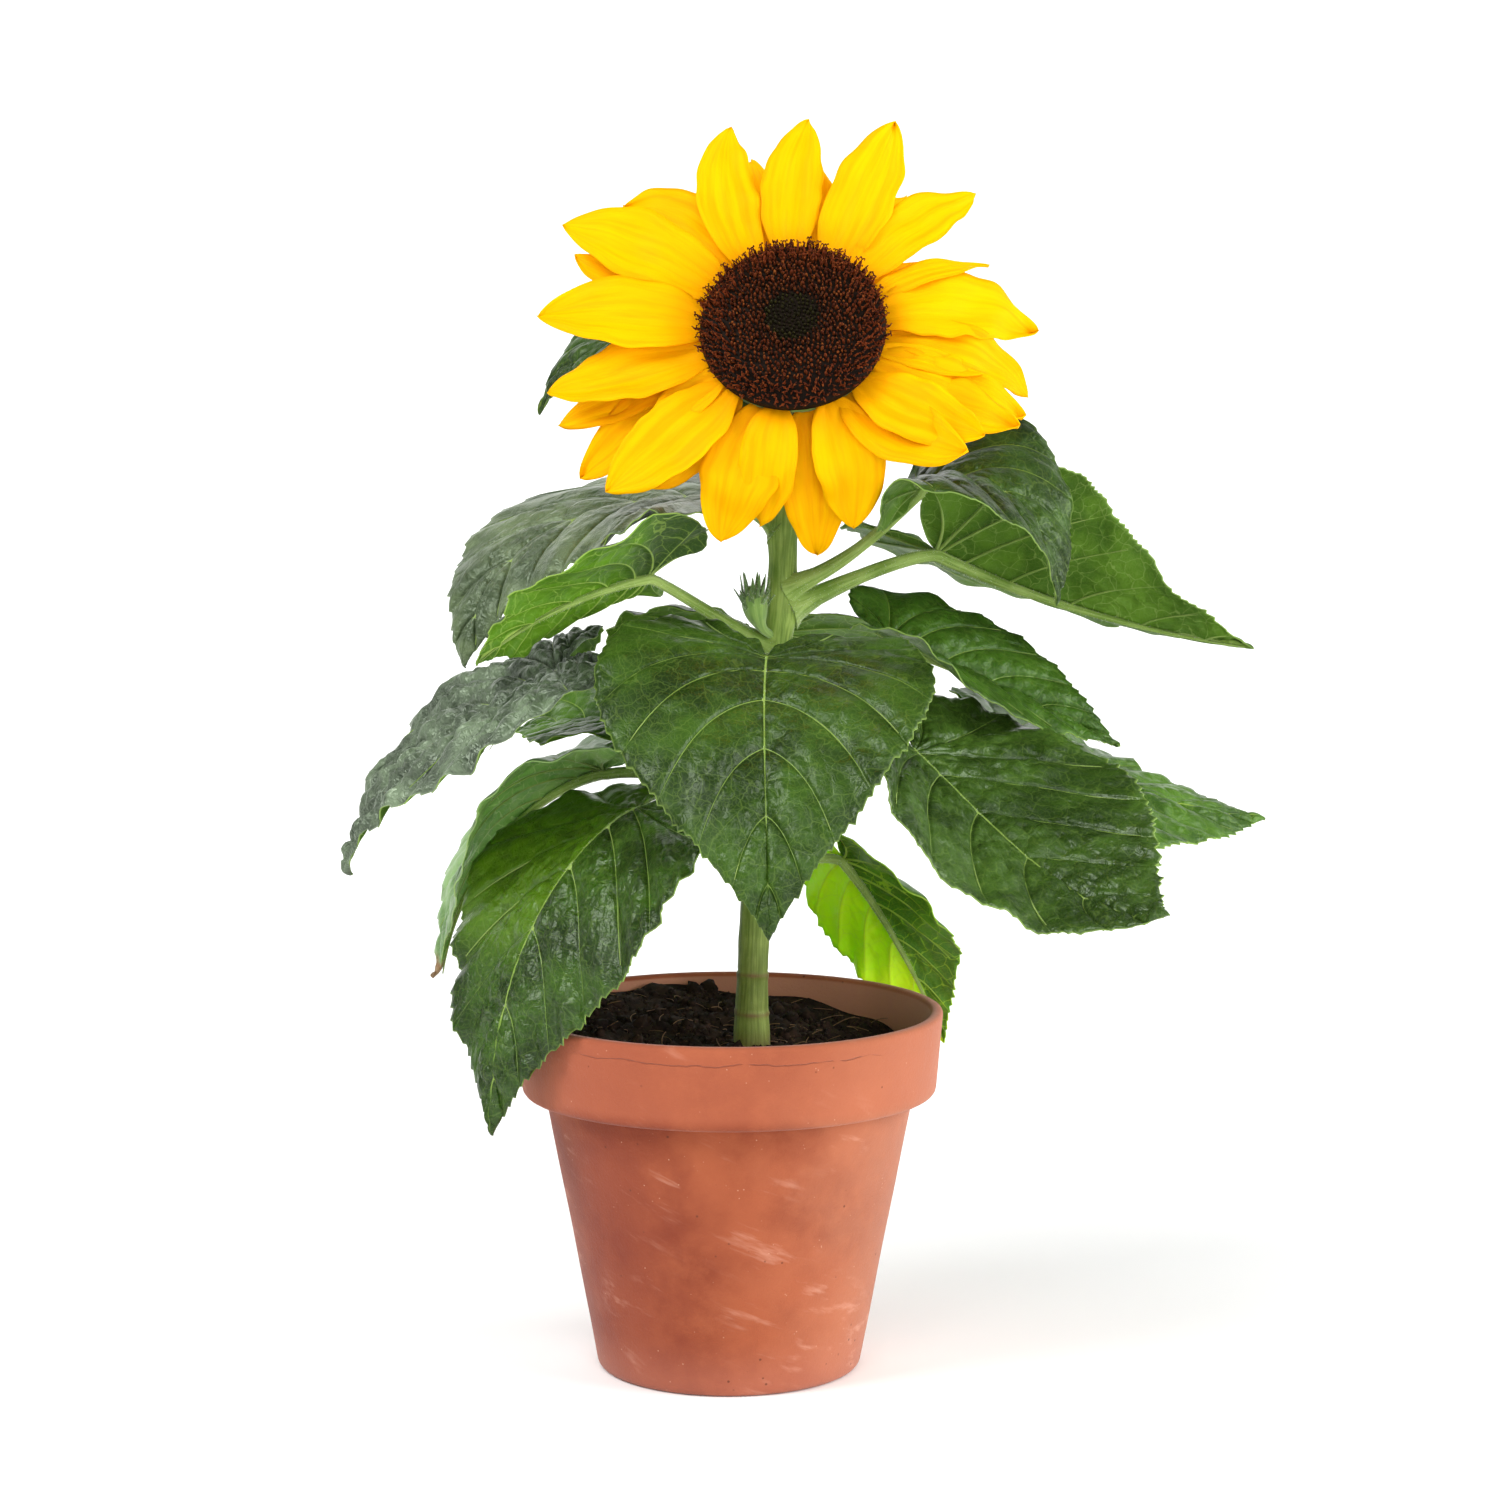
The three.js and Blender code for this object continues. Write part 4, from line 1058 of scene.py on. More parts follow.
UPPER = {
    "deep": leaf_finish("deep leaf", "192c07", "345114", "86a24a", 0.31, 1.3),
    # painted glow: one half of the low leaf is paler from the stalk to about half its length, as though lit
    # through
    "low": leaf_finish(
        "low leaf", "192c07", "345114", "86a24a", 0.29, 1.5, 0.45, 0.25,
        left=("4a6c0a", 0.5, -1)),
    "glossy": leaf_finish("glossy leaf", "20360b", "3b581b", "86a24a", 0.3, 1.2, 0.5),
    "mid": leaf_finish("mid leaf", "24400c", "3f621a", "86a24a", 0.33, 1.3, 0.34, 0.2),
    # the silver and crumpled leaves are a greyer green: partly their own tone, partly a painted silvery sheen
    "silver": leaf_finish(
        "silver leaf", "283819", "5a6a44", "8b9e78", 0.36, 1.6, 0.7, hairy=0.3),
    "crumpled": leaf_finish(
        "crumpled leaf", "1c2818", "66775b", "98a88c", 0.36, 3.2, 1.0, hairy=0.35),
    "fresh": leaf_finish("fresh leaf", "2e4f0f", "4a7218", "95b14c", 0.34, 0.9),
    "stalked": leaf_finish("stalked leaf", "2c3e1c", "4a6434", "7f946c", 0.32, 1.4, 0.6),
    # painted glow: one half of this leaf is lime, standing in for light shining through it; the other half is
    # ordinary green
    "painted_glow": leaf_finish(
        "bright leaf", "3c5f10", "4c7416", "9ab83c", 0.42, 0.6, 0.3, 0.6,
        left=("b4dc10", 1.5, 1)),
    "dry_tip": leaf_finish(
        "dry-tipped leaf", "668850", "9ab882", "b8cc98", 0.32, 0.9, 0.6, 0.2, 0.93, hairy=0.3),
}
UNDER = {
    **{
        kind: leaf_finish(f"{kind} underside", "44661a", "5c8224", "9db763", 0.5, -0.6)
        for kind in ("deep", "low", "glossy", "mid")
    },
    **{
        kind: leaf_finish(f"{kind} underside", "3f6018", "5b8026", "a3bd68", 0.5, -0.6)
        for kind in ("silver", "crumpled")
    },
    "fresh": leaf_finish("fresh underside", "456f10", "5f8d1c", "a6c45c", 0.5, -0.6),
    "stalked": leaf_finish(
        "stalked underside", "456f10", "5f8d1c", "a6c45c", 0.45, -0.8,
        left=("3a5426", 0.12, 1)),
    # painted glow: one half of this underside is lime, standing in for light shining through the leaf
    "painted_glow": leaf_finish(
        "bright underside", "3f6410", "527c18", "b6d83c", 0.5, -0.6, 0.3, 0.6,
        left=("c4ee14", 1.5, 1)),
    "dry_tip": leaf_finish(
        "dry-tipped underside", "6b9a45", "8db463", "bdd393", 0.5, -0.5, 0.34, 0.2, 0.93),
}

# %% Make the blades
for number, (name, leaf) in enumerate(LEAVES.items()):
    lines = leaf_lines(name)
    points, triangles, flat, facts = leaf_sheet(name, leaf, lines, 10 * number + 10)
    solid, faces, side = thicken(points, triangles, THICKNESS_LEAF)
    facts = np.tile(facts, (2, 1))
    attributes = {
        "flat": np.tile(flat, (2, 1)), "side_mm": facts[:, 0], "mid_mm": facts[:, 1],
        "reach": facts[:, 2], "along": facts[:, 3],
    }
    finishes = [UPPER[leaf.finish], UNDER[leaf.finish]]
    blade = add_mesh(f"blade_{name}", solid, faces, finishes, side, attributes)
    hand_over(blade, "leaf_green", f"leaf_{name}")

# %% [markdown]
# ### Stalks and ribs
#
# The stalk doesn't stop at the blade: it runs on under it as the midrib and sends a rib along each side vein.
# All of these are tubes that follow a path and get thinner, so they are one Geometry Nodes recipe, run on
# bare lines that carry their girth. The section is slightly fluted, as a real stalk is.

# %% Tubes along lines
tubes = Recipe("tubes", sides=8, flutes=5, flute_depth=0.0)
path = tubes.node("GeometryNodeMeshToCurve", None, {"Mesh": tubes.input("Geometry")})
girth = tubes.node("GeometryNodeInputNamedAttribute", {"data_type": "FLOAT"}, {"Name": "girth"})
sockets = {"Resolution": tubes.input("sides"), "Radius": 1.0}
ring = tubes.node("GeometryNodeCurvePrimitiveCircle", None, sockets)
where = tubes.node("GeometryNodeInputPosition")
split = tubes.parts(where)
angle = tubes.maths("ARCTAN2", split.out("Y"), split.out("X"))
wave = tubes.maths("COSINE", angle * tubes.input("flutes"))
fluted = tubes.vector("SCALE", where, Scale=wave * tubes.input("flute_depth") + 1)
ring = tubes.stored(ring, "around", where, "FLOAT_VECTOR")
ring = tubes.node("GeometryNodeSetPosition", None, {"Geometry": ring, "Position": fluted})
tube = tubes.node(
    "GeometryNodeCurveToMesh", None, {"Curve": path, "Profile Curve": ring, "Scale": girth, "Fill Caps": True}
)
tubes.finish(tube)


def bare_lines(paths):
    """A mesh of open lines, each a list of points and their girths in millimetres."""
    mesh = bpy.data.meshes.new("paths")
    points, edges, girths, runs = [], [], [], []
    for line, widths in paths:
        edges += [(len(points) + k, len(points) + k + 1) for k in range(len(line) - 1)]
        steps = np.linalg.norm(np.diff(line, axis=0), axis=1)
        runs += [0.0, *np.cumsum(steps)]
        points += (np.asarray(line) * MM).tolist()
        girths += (np.asarray(widths) * MM).tolist()
    mesh.from_pydata(points, edges, [])
    for title, values in (("girth", girths), ("run", runs)):
        mesh.attributes.new(title, "FLOAT", "POINT").data.foreach_set("value", values)
    return mesh


STALK_SHARES = [0, 0.06, 0.2, 0.5, 0.9, 1]
STALK_WIDTHS = [2.6, 1.8, 1.25, 0.9, 0.8, 0.78]  # times its girth: it is widest where it leaves the stem

stalk_paths, rib_paths, painted_glow_ribs = [], [], []
for name, leaf in LEAVES.items():
    lines = leaf_lines(name)
    girth = 1.6 + leaf.blade[1] / 45
    s = np.linspace(0, 1, 40)
    first = lines["root_r"] * 0.55 / leaf.stalk
    u = between(first, 1, s)
    line = at_share(lines["stalk"], u)
    under = -lines["above"][0]
    line = line + under * (s**6 * girth * 0.9)[:, None]
    widths = girth * np.interp(s, STALK_SHARES, STALK_WIDTHS)
    rib_s = np.linspace(0.015, 0.97, 44)
    rib_r = girth * STALK_WIDTHS[-1] * (1 - rib_s) ** 1.1 + 0.22
    rib = at_share(lines["rib"], rib_s) - at_share(lines["above"], rib_s) * (rib_r * 0.85)[:, None]
    stalk_paths.append((np.concatenate([line, rib]), np.concatenate([widths, rib_r])))
    for q in VEINS:
        for hand in (1, -1):
            t = np.linspace(0.0, 0.93, 14)
            flat = vein_point(np.full_like(t, q), t)
            thin = (0.72 * (1 - t) ** 0.8 + 0.16) * between(1.0, 0.55, q) * leaf.blade[0] / USUAL_LENGTH
            place = blade_place(leaf, lines, flat[:, 0], flat[:, 1], hand, -thin * 0.6 - 0.2)
            # the lime half of the painted-glow leaf gets no ribs: that painted glow shows its veins by colour
            # only
            if leaf.finish != "painted_glow":
                rib_paths.append((place, thin))
            elif hand > 0:  # the lime half shows its veins by colour only
                painted_glow_ribs.append((place, thin))

stalks = grown("stalks", tubes, bare_lines(stalk_paths), sides=15, flute_depth=0.07, material=stalk_skin)
hand_over(stalks, "stalk_green", *[f"stalk_{name}" for name in LEAVES])
ribs = grown("leaf_ribs", tubes, bare_lines(rib_paths), sides=6, material=stalk_skin)
hand_over(ribs, "leaf_green")
# a paler rib green for the leaf with the painted glow
lime_skin = skin_finish("lime rib skin", "7da028", "a2c444", 0.05)
lime_ribs = grown("bright_leaf_ribs", tubes, bare_lines(painted_glow_ribs), sides=6, material=lime_skin)
hand_over(lime_ribs, "leaf_green")

# %% The stem itself, in rings
STEM_RINGS, STEM_SIDES = 230, 48
STALK_SWELLING = 1.7
neck = on_head([(0, 0, -CALYX_DEPTH - 2), (0, 0, -CALYX_DEPTH + 3)])
centre_line = np.column_stack([np.concatenate([STEM_LINE, neck]), [*STEM_R, 6.9, 8.5]])
centre_line = smooth_line(centre_line, STEM_RINGS)
ahead = np.gradient(centre_line[:, :3], axis=0)
ahead /= np.linalg.norm(ahead, axis=1, keepdims=True)
across = np.cross(ahead, (0, 1, 0))
across /= np.linalg.norm(across, axis=1, keepdims=True)
other = np.cross(ahead, across)
turn = np.linspace(0, 2 * math.pi, STEM_SIDES + 1)
z = centre_line[:, 2:3]
radius = centre_line[:, 3:4] * (1 + 0.008 * np.cos(9 * turn + z / 60) + 0.004 * np.cos(23 * turn + z / 31))
radius = radius + 0.12 * ripple(z, 12 * np.sin(turn), 14, 77)
brown = np.zeros((STEM_RINGS, STEM_SIDES + 1))
for scar_z in SCARS_Z:
    tilted = z - scar_z - 0.5 * np.sin(turn + scar_z)
    radius = radius + 0.45 * np.exp(-((tilted / 1.0) ** 2)) - 0.2 * np.exp(-(((tilted - 1.6) / 0.7) ** 2))
    brown = np.maximum(brown, np.exp(-((tilted / 1.2) ** 2)) * (0.85 + 0.15 * np.sin(5 * turn)))
for leaf in LEAVES.values():
    away = np.angle(np.exp(1j * (turn - math.radians(leaf.heading))))
    radius = radius + STALK_SWELLING * np.exp(-((away / 0.8) ** 2) - ((z - leaf.at) / 6.5) ** 2)
woody = 0.45 * np.clip((136 - z) / 8, 0, 1) + 0.25 * np.clip((200 - z) / 40, 0, 1)
brown = np.maximum(brown, woody)
outward = other[:, None] * np.sin(turn)[:, None] - across[:, None] * np.cos(turn)[:, None]
rings = centre_line[:, None, :3] + radius[..., None] * outward
foot, top = (np.repeat(end.mean(1, keepdims=True), STEM_SIDES + 1, 1) for end in (rings[:1], rings[-1:]))
stem_points = np.concatenate([foot, rings, top]).reshape(-1, 3)
stem_brown = np.concatenate([brown[:1], brown, brown[-1:]]).ravel()
stem_triangles = grid_triangles(STEM_RINGS + 2, STEM_SIDES + 1)
chosen, stem_triangles = joined(stem_triangles, stem_points)
circle = np.stack([np.cos(turn), np.sin(turn), 0 * turn], -1)
attributes = {
    "brown": stem_brown[chosen],
    "run": np.repeat(np.concatenate([z[:1], z, z[-1:]]), STEM_SIDES + 1, 1).ravel()[chosen],
    "around": np.tile(circle, (STEM_RINGS + 2, 1))[chosen] * 2.0,
}
stem = add_mesh("stem_skin", stem_points[chosen], stem_triangles, [stem_skin], None, attributes)
hand_over(stem, "stem_green", "stem")

# %% [markdown]
# ## The flower head
#
# The head has three layers: a green cup of overlapping bracts behind, a double ring of petals, and the disc,
# where hundreds of florets stand in a spiral. The petals share one rule. Each has its own angle, droop,
# length and width, narrows to a foot, is pleated lengthwise and ends in a point, and its edges wander.

# %% Petals
# One row per petal: angle round the disc (90 is up), how far it bends round, slope out of the disc's plane at
# the foot and at the tip, length, half width, and 1 for the back whorl.
PETALS = [
    (147, 22, 12, -4, 70, 13.5, 0), (128, 31, 7, -27, 65, 13, 1), (119, -43, 9, 0, 65, 11, 0),
    (103, 0, -2, -28, 61, 8, 1), (94, -21, 9, -3, 63, 11, 0), (82, 6, 2, -15, 46, 7, 1),
    (66, 3, 15, 7, 64, 12.5, 0), (59, 10, -5, -39, 59, 9, 1), (47, -13, 13, -26, 63, 11, 0),
    (29, -21, 11, -21, 50, 5, 0), (32, 9, -3, -38, 38, 7, 1), (14, -25, 10, -51, 67, 14, 0),
    (-1, -30, 12, -60, 68, 9, 1), (-12, 0, 3, -15, 42, 5, 0), (-20, 10, 1, -31, 63, 11.5, 0),
    (-28, 21, 2, -14, 62, 11, 1), (-39, 23, 12, -2, 56, 12, 0), (-48, 34, 6, 12, 56, 13, 1),
    (-64, -35, -2, -67, 52, 13, 0), (-80, -14, -14, -69, 58, 12, 1), (-99, 0, 2, -72, 48, 11, 0),
    (-109, 0, -4, -50, 55, 13.5, 1), (-132, -29, -14, -61, 52, 12.5, 1), (-134, -13, 0, -20, 63, 13, 0),
    (-145, 0, 4, -22, 32, 8, 0), (-150, -4, -8, -46, 70, 12, 1), (-165, -8, 1, -19, 65, 13, 0),
    (-161, -7, -8, -30, 66, 9, 1), (174, 9, 15, -12, 67, 14.5, 0), (158, -5, 3, -8, 62, 11.5, 1),
]
PETAL_FOOT_R = 32
WHORL_DEPTH = [-5.4, -7.8]
PETAL_ROWS, PETAL_COLUMNS = 44, 17


def ribbon(angle, bend, slopes, length, foot_r, depth, s):
    """Centre line of a petal or bract, with its sideways and upward directions, at the shares s."""
    turned = angle + bend * s**1.3
    ahead = direction(turned, between(*slopes, s**1.2))
    steps = (ahead[1:] + ahead[:-1]) / 2 * (np.diff(s) * length)[:, None]
    foot = foot_r * direction(angle, 0) + np.array([0, 0, depth])
    line = np.concatenate([[foot], foot + np.cumsum(steps, 0)])
    side = direction(turned + 90, 0 * s)
    side -= ahead * (side * ahead).sum(1, keepdims=True)
    side /= np.linalg.norm(side, axis=1, keepdims=True)
    return line, side, np.cross(ahead, side)


def petal_sheet(row, seed):
    """A grid of points, and for each the facts that the petal's finish needs."""
    angle, bend, *slopes, length, half_width, whorl = row
    s = np.linspace(0, 1, PETAL_ROWS) ** 0.9
    line, side, above = ribbon(angle, bend, slopes, length, PETAL_FOOT_R, WHORL_DEPTH[whorl], s)
    x = np.linspace(-1, 1, PETAL_COLUMNS)
    s_grid, x_grid = np.meshgrid(s, x, indexing="ij")
    width = 1.05 * half_width * (s + 0.07) ** 0.8 * (1 - s) ** 0.78 / 0.37
    width = width * (1 + 0.03 * ripple(s * length, 0 * s, 26, seed))
    width_grid = width[:, None] * (1 + 0.03 * ripple(s_grid * length, 9 * x_grid, 13, seed + 1))
    draw = np.random.default_rng(seed)
    twist = (np.radians(draw.uniform(-22, 22)) * s**1.5)[:, None]
    cosine, sine = np.cos(twist), np.sin(twist)
    side, above = side * cosine + above * sine, above * cosine - side * sine
    lift = draw.uniform(0.05, 0.2) * width_grid * x_grid**2
    pleats = np.cos(x_grid * math.pi * 3 + 0.5 * ripple(s_grid * length, 0 * s_grid, 30, seed + 2))
    lift = lift + 0.75 * pleats * (1 - s_grid) ** 0.4 * np.clip(width_grid / 9, 0, 1) * (0.4 + 0.6 * s_grid)
    lift = lift + 1.2 * ripple(s_grid * length, x_grid * half_width, 24, seed + 3) * (0.25 + s_grid)
    lift = lift + 1.0 * ripple(s_grid * length, x_grid * 3, 15, seed + 4) * np.abs(x_grid) ** 3 * s_grid**0.5
    flat = line[:, None] + side[:, None] * (x_grid * width_grid)[..., None]
    facts = np.stack([s_grid, x_grid, np.full_like(s_grid, seed % 7 / 6)], -1)
    return flat + above[:, None] * lift[..., None], facts


def thin_solids(sheets, thickness, facts=None):
    """Grids of points as thin closed solids in one mesh. The third result is the facts for all its points."""
    solids, faces, kept, count = [], [], [], 0
    for number, sheet in enumerate(sheets):
        points = sheet.reshape(-1, 3)
        chosen, triangles = joined(grid_triangles(*sheet.shape[:2], flip=True), points)
        solid, triangles, _ = thicken(points[chosen], triangles, thickness)
        solids.append(solid)
        faces.append(triangles + count)
        count += len(solid)
        if facts:
            kept.append(np.tile(facts[number].reshape(-1, 3)[chosen], (2, 1)))
    return np.concatenate(solids), np.concatenate(faces), np.concatenate(kept) if facts else None


# %% Petal yellow: deeper towards the foot and in fine lines along the petal
def petal_finish(name, full, deep):
    skin = Finish(
        name, roughness=0.6, specular_ior_level=0.03,
        subsurface_weight=0.25, subsurface_scale=0.004, subsurface_radius=(1.0, 0.7, 0.1),
    )
    along, across = skin.attribute("along"), skin.attribute("across")
    lines = skin.xyz(across * 5, along * 1.3, skin.attribute("own"))
    grain = skin.noise(lines, 1.0, 3, 0.6)
    foot = skin.ease(along + grain * 0.16, 0.42, 0.06)
    skin.base(skin.ease(grain, 0.35, 0.7) * 0.5, full, deep)
    skin.lay(foot * 0.8, "f09200")
    return skin.coat(None, grain, 0.3)


FRONT_YELLOW = petal_finish("petal yellow", "fab400", "ee8c00")
BACK_YELLOW = petal_finish("back petal yellow", "fab000", "ea8200")

for whorl, (name, finish) in enumerate([("front_petals", FRONT_YELLOW), ("back_petals", BACK_YELLOW)]):
    made = [petal_sheet(row, number + 11) for number, row in enumerate(PETALS) if row[-1] == whorl]
    sheets, facts = zip(*made)
    points, triangles, facts = thin_solids(sheets, THICKNESS_PETAL, facts)
    attributes = {"along": facts[:, 0], "across": facts[:, 1], "own": facts[:, 2] * 9}
    petals = add_mesh(name, on_head(points), triangles, [finish], None, attributes)
    hand_over(petals, "petal_yellow", *(["petal_ring"] if whorl == 0 else []))

# %% [markdown]
# ### The seed disc
#
# Florets open from the outside in. They stand on a Vogel spiral, in which each is turned by the golden angle
# from the one before. The outer ones are open, each with a forked, curled stigma; then come brown tubes, and
# the green-black buds of the middle are still shut. Geometry Nodes sets one kind at a time on its part of the
# spiral.

# %% Kinds of floret, each a small mesh one unit high
def limb_mesh(name, parts, sides=5):
    """Several tapering limbs in one mesh. Each is a list of (x, y, z, radius)."""
    points, faces = [], []
    for part in parts:
        part = np.array(part, float)
        start = len(points)
        ahead = np.gradient(part[:, :3], axis=0)
        for (x, y, z, r), way in zip(part, ahead):
            way = way / np.linalg.norm(way)
            across = np.cross(way, (0.3, 1, 0.1))
            across /= np.linalg.norm(across)
            other = np.cross(way, across)
            for k in range(sides):
                a = 2 * math.pi * k / sides
                points.append(np.array([x, y, z]) + r * (across * math.cos(a) + other * math.sin(a)))
        for i in range(len(part) - 1):
            for k in range(sides):
                a, b = start + i * sides + k, start + i * sides + (k + 1) % sides
                faces.append((a, b, b + sides, a + sides))
        faces.append(tuple(start + k for k in reversed(range(sides))))
        faces.append(tuple(start + (len(part) - 1) * sides + k for k in range(sides)))
    mesh = bpy.data.meshes.new(name)
    mesh.from_pydata([tuple(p) for p in points], [], faces)
    kind = bpy.data.objects.new(name, mesh)
    scene.collection.objects.link(kind)
    return kind


tube_part = [
    (0, 0, -0.2, 0.13), (0, 0, 0.25, 0.16), (0, 0, 0.55, 0.2), (0, 0, 0.75, 0.15), (0, 0, 0.9, 0.05),
]
fork = [
    [(0, 0, 0.7, 0.07), (0, 0, 0.92, 0.07), (side * 0.12, 0, 1.06, 0.075), (side * 0.26, 0, 1.08, 0.08),
     (side * 0.33, 0, 0.98, 0.06), (side * 0.3, 0, 0.9, 0.03)]
    for side in (1, -1)
]
OPEN_FLORET = limb_mesh("open floret", [tube_part[:4], *fork])
TUBE_FLORET = limb_mesh("tube floret", [tube_part])
bud_part = [(0, 0, -0.3, 0.2), (0, 0, 0.3, 0.24), (0, 0, 0.6, 0.18), (0, 0, 0.78, 0.04)]
BUD_FLORET = limb_mesh("bud floret", [bud_part])

# %% The spiral
DISC_R = 36.5
DISC_RISE = 8
DISC_HOLLOW = 1.8  # how deep the middle sinks
DOME_POWER = 2.6
FLORETS = 1350
GOLDEN_ANGLE = math.radians(137.508)

spiral = Recipe(
    "florets", count=1, disc_r=1.0, rise=1.0, inner=0.0, outer=1.0, height=1.0, width=1.0, lean=0.0, seed=1
)
order = spiral.node("GeometryNodeInputIndex")
share = (order + 0.5) / spiral.input("count")
far = share**0.5
turn = order * GOLDEN_ANGLE
shift = spiral.random(-0.02, 0.02, 11)
cosine, sine = (spiral.maths(operation, turn + shift) for operation in ("COSINE", "SINE"))
radius = far * spiral.input("disc_r") * spiral.random(0.985, 1.01, 12)
hollow = spiral.ease(far, 0.45, 0.0, 0.0, DISC_HOLLOW * MM)
dome = (1 - far**DOME_POWER) * spiral.input("rise") - hollow
seat = spiral.xyz(cosine * radius, sine * radius, dome)
points = spiral.node("GeometryNodePoints", None, {"Count": spiral.input("count"), "Position": seat})
points = spiral.stored(points, "far", far)
points = spiral.stored(points, "own", spiral.random(0.0, 1.0, 3))
tip = far**3 * spiral.input("lean")
outward = spiral.xyz(cosine * tip, sine * tip, 1.0)
tremble = spiral.random((-0.22, -0.22, 0), (0.22, 0.22, 0), 4, "FLOAT_VECTOR")
stand = spiral.node("FunctionNodeAlignRotationToVector", {"axis": "Z"},
                    {"Vector": spiral.vector("ADD", outward, tremble)})
stand = spiral.turned(stand, spiral.xyz(z=spiral.random(0.0, 6.3, 5)))
low, high = (
    spiral.node(
        "FunctionNodeCompare", {"data_type": "FLOAT", "operation": test}, {0: far, 1: spiral.input(end)}
    )
    for test, end in (("GREATER_EQUAL", "inner"), ("LESS_THAN", "outer"))
)
chosen_ones = spiral.node("FunctionNodeBooleanMath", {"operation": "AND"}, {0: low, 1: high})
kind = spiral.node("GeometryNodeObjectInfo", None, {"Object": spiral.input("kind")}, "Geometry")
size = spiral.random(0.75, 1.2, 6)
wide = size * spiral.input("width")
scale = spiral.xyz(wide, wide, size * spiral.input("height"))
spiral.finish(spiral.placed(points, kind, stand, scale, Selection=chosen_ones))


# %% Floret brown
def floret_finish(name, low_tone, high_tone, speck):
    skin = Finish(name, roughness=0.65, specular_ior_level=0.1)
    spot = skin.place()
    skin.base(skin.attribute("own"), low_tone, high_tone)
    skin.lay(skin.ease(skin.noise(spot, 0.8, 2), 0.52, 0.7) * 0.7, speck)
    middle = skin.ease(skin.attribute("far") + skin.noise(spot, 5) * 0.1, 0.6, 0.15)
    skin.lay(middle * 0.85, "120d05")
    return skin.coat(None, skin.noise(spot, 0.35, 2), 0.08)


open_brown = floret_finish("open floret brown", "300f06", "6a2c10", "9a5420")
tube_brown = floret_finish("floret tube brown", "2e1008", "5e2810", "9c5a22")
bud_green = floret_finish("floret bud green", "1c1d0a", "38360f", "5a5218")
bed_brown = floret_finish("disc bed brown", "280d06", "30130a", "4a2410")

empty = bpy.data.meshes.new("no base")
head_place = Matrix([[*(HEAD_FRAME.T[row]), HEAD_AT[row] * MM] for row in range(3)] + [[0, 0, 0, 1]])
KINDS = [
    ("open_florets", OPEN_FLORET, open_brown, 0.74, 1.01, 4.0, 2.8, 0.75),
    ("tube_florets", TUBE_FLORET, tube_brown, 0.30, 0.74, 3.4, 2.9, 0.3),
    ("closed_florets", BUD_FLORET, bud_green, 0.0, 0.30, 2.6, 2.6, 0.0),
]
for name, kind, finish, inner, outer, height, width, lean in KINDS:
    florets = grown(
        name, spiral, empty, count=FLORETS, disc_r=(DISC_R - 1.8) * MM, rise=DISC_RISE * MM, inner=inner,
        outer=outer, height=height * MM, width=width * MM, lean=lean, kind=kind, seed=3, material=finish,
    )
    florets.data.transform(head_place)
    hand_over(florets, "floret_brown")
for kind in (OPEN_FLORET, TUBE_FLORET, BUD_FLORET):
    bpy.data.objects.remove(kind)

# %% The bed under the florets
def turned_piece(name, line, sides, material):
    """A solid of the flower head: a line of radius and height, turned about the head's axis."""
    turns = np.linspace(0, 2 * math.pi, sides + 1)
    x, y = np.outer(line[:, 0], np.cos(turns)), np.outer(line[:, 0], np.sin(turns))
    points = np.stack([x, y, np.repeat(line[:, 1:], sides + 1, 1)], -1).reshape(-1, 3)
    chosen, triangles = joined(grid_triangles(len(line), sides + 1, flip=True), points)
    return add_mesh(name, on_head(points[chosen]), triangles, [material])


bed_r = np.linspace(DISC_R - 1.5, 0, 24)
bed_z = DISC_RISE * (1 - (bed_r / DISC_R) ** DOME_POWER) - DISC_HOLLOW * np.clip(1 - bed_r / 16, 0, 1) + 0.2
bed_line = np.concatenate([[(0, -4.2), (30, -4.2), (DISC_R - 1, -1.5)], np.stack([bed_r, bed_z], -1)])
disc_bed = turned_piece("disc_bed", bed_line, 72, bed_brown)
hand_over(disc_bed, "floret_brown", "seed_disc")

# %% [markdown]
# ### The green cup
#
# Behind the petals, rows of pointed bracts overlap like scales and their tips bend back. Each is a small
# ribbon that tapers to a point, so the petal's centre line serves again with other numbers.

# %% Bracts
BRACT_ROWS = [  # how many, foot radius, depth, slopes, length, half width
    (15, 30, -10.8, (-12, -58), 27, 6.4),
    (15, 27, -15.2, (-22, -66), 27, 6.6),
    (12, 20, -20.5, (-26, -74), 24, 6.2),
    (9, 12, -24.4, (-22, -62), 19, 5.6),
]


def ribbon_sheet(line, side, above, width, x, hollow):
    """A ribbon's grid of points, hollowed across its width."""
    across = x * width[:, None]
    lift = hollow * width[:, None] * x**2
    return line[:, None] + side[:, None] * across[..., None] + above[:, None] * lift[..., None]


def bract_sheets():
    draw = np.random.default_rng(8)
    s, x = np.linspace(0, 1, 16), np.linspace(-1, 1, 9)
    sheets = []
    for row, (number, foot_r, depth, slopes, length, half_width) in enumerate(BRACT_ROWS):
        for k in range(number):
            angle = 360 * (k + 0.5 * row) / number + draw.uniform(-4, 4)
            long = length * draw.uniform(0.85, 1.15)
            line, side, above = ribbon(angle, draw.uniform(-8, 8), slopes, long, foot_r, depth, s)
            width = half_width * (1 - s**1.6) ** 0.9 * between(0.9, 1.0, np.minimum(s * 4, 1)) + 0.02
            width[-1] = 0
            sheets.append(ribbon_sheet(line, side, above, width, x, -0.12))
    return sheets


bract_skin = skin_finish("bract skin", "5d8233", "8fae57", 0.3)
points, triangles, _ = thin_solids(bract_sheets(), THICKNESS_BRACT)
bracts = add_mesh("green_bracts", on_head(points), triangles, [bract_skin])
hand_over(bracts, "bract_green")

cup_line = smooth_line([
    (0, -CALYX_DEPTH), (7, -CALYX_DEPTH), (17, -22), (27, -16), (32.6, -10.5), (33.2, -7), (32.8, -4.6),
    (0, -4.6),
], 70)
cup = turned_piece("green_cup", cup_line, 96, bract_skin)
hand_over(cup, "bract_green", "calyx")
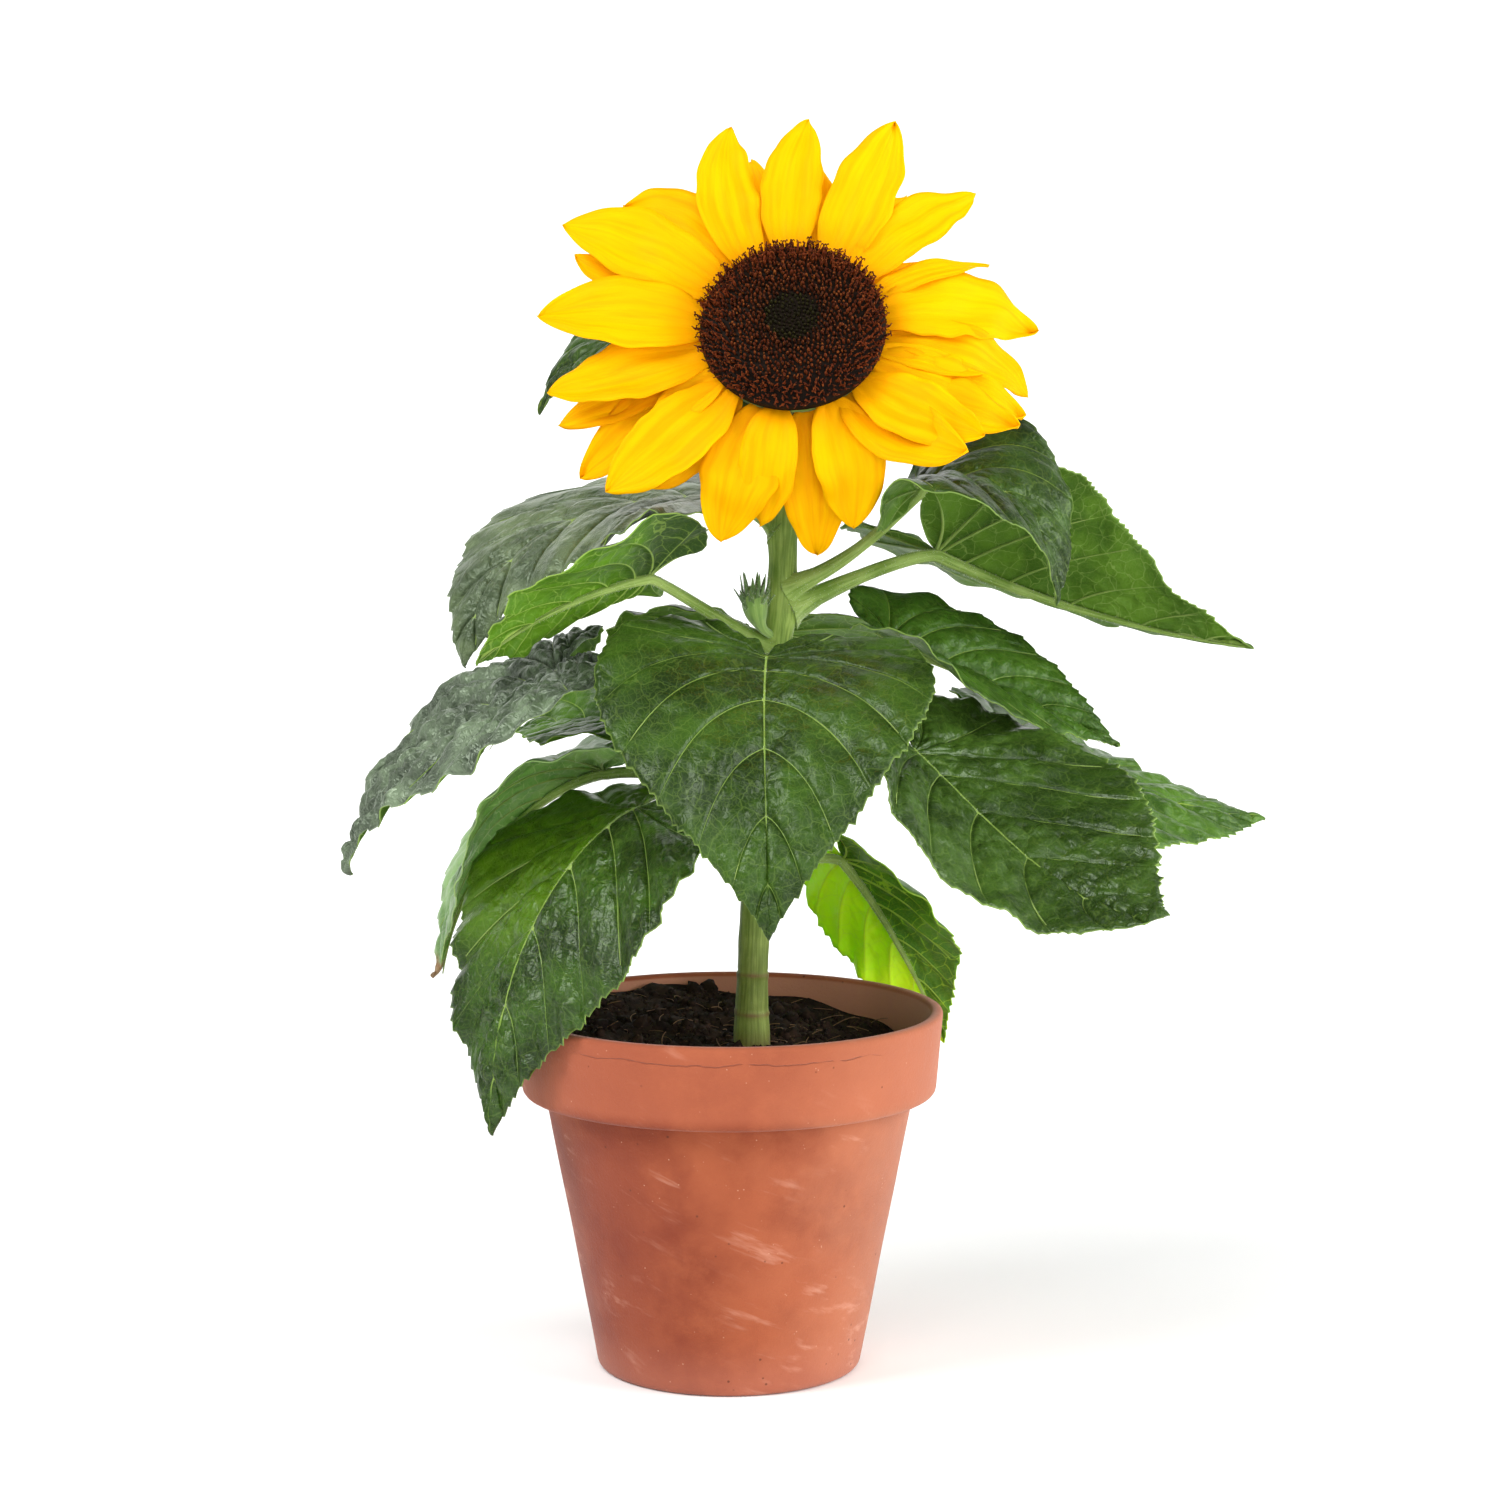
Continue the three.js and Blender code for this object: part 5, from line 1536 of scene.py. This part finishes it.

# %% [markdown]
# ## The side bud
#
# A small second bud stands where a leaf stalk leaves the stem: a short stalk, a round green body and a crown
# of narrow sepals.

# %% Side bud
BUD_AT, BUD_HEADING = 292, 236
SEPALS = 26
bud_root, bud_stem_r = stem_at(BUD_AT)
bud_out = direction(BUD_HEADING, 0)
bud_foot = bud_root + bud_out * (bud_stem_r - 1.0)
bud_line = smooth_line([  # outward, upward and radius
    (0, 0, 1.7), (5, 2, 1.6), (8, 5, 2.4), (10, 8.5, 4.2), (11.5, 13, 5.2), (12.4, 17, 4.4), (12.8, 20, 1.5),
], 36)
UP = np.array([0, 0, 1])
bud_places = bud_foot + bud_line[:, :1] * bud_out + bud_line[:, 1:2] * UP
bud_body = grown(
    "bud_body", tubes, bare_lines([(bud_places, bud_line[:, 2])]), sides=20, flutes=7, flute_depth=0.06,
    material=bract_skin,
)
hand_over(bud_body, "bract_green", "side_bud")

draw = np.random.default_rng(5)
bud_centre = bud_places[26]
s, x = np.linspace(0, 1, 12), np.linspace(-1, 1, 5)
sepals = []
for k in range(SEPALS):
    around = direction(360 * k * 0.618 + draw.uniform(-6, 6), 0)
    climb = 35 + 45 * k / SEPALS
    start = bud_centre + around * 3.4 + UP * (-4 + 5.0 * k / SEPALS)
    rise = np.radians(climb + 18 * s - draw.uniform(0, 20) * s**2)
    ahead = around * np.cos(rise)[:, None] * 0.6 + UP * np.sin(rise)[:, None]
    long = draw.uniform(8, 11.5)
    line = start + np.concatenate([[[0, 0, 0]], np.cumsum(ahead[1:] * long / (len(s) - 1), 0)])
    side = np.repeat(np.cross(UP, around)[None], len(s), 0)
    width = 1.25 * (1 - s**1.5) ** 0.8
    sepals.append(ribbon_sheet(line, side, np.cross(ahead, side), width, x, 0.2))
points, triangles, _ = thin_solids(sepals, THICKNESS_SEPAL)
sepals = add_mesh("bud_sepals", points, triangles, [skin_finish("sepal skin", "3f5a26", "6f8f42", 0.3)])
hand_over(sepals, "bract_green")

# %% [markdown]
# ## Hairs
#
# Stem, stalks and bud carry stiff white hairs about a millimetre long, which give their outline its soft pale
# edge. One recipe strews three-sided needles over any surface and tips each a little.

# %% White hairs
hairs = Recipe("hairs", per_area=1.0, length=1.0, width=1.0, seed=1)
strewn = hairs.strewn()
needle = hairs.node(
    "GeometryNodeMeshCone", {"fill_type": "NONE"},
    {"Vertices": 3, "Side Segments": 1, "Radius Top": 0.0, "Radius Bottom": 1.0, "Depth": 1.0}, "Mesh",
)
tipped = hairs.random((-0.5, -0.5, 0), (0.5, 0.5, 6.3), 3, "FLOAT_VECTOR")
tall = hairs.random(0.5, 1.3, 4) * hairs.input("length")
scale = hairs.xyz(hairs.input("width"), hairs.input("width"), tall)
stand = hairs.turned(strewn.out("Rotation"), tipped)
hairs.finish(hairs.placed(strewn, needle, stand, scale))

down = Finish("white hair", roughness=0.5)
down.base(down.noise(down.place(), 9), "cfdcb8", "f1f5e6")
down.coat()
for name, base, density, length in [
    ("stem_hairs", stem, 9.0e5, 1.4), ("stalk_hairs", stalks, 4.0e5, 0.8), ("bud_hairs", sepals, 1.2e6, 0.9),
]:
    fuzz = grown(
        name, hairs, base.data.copy(), per_area=density, length=length * MM, width=0.06 * MM, seed=6,
        material=down.material,
    )
    hand_over(fuzz, "stem_green")
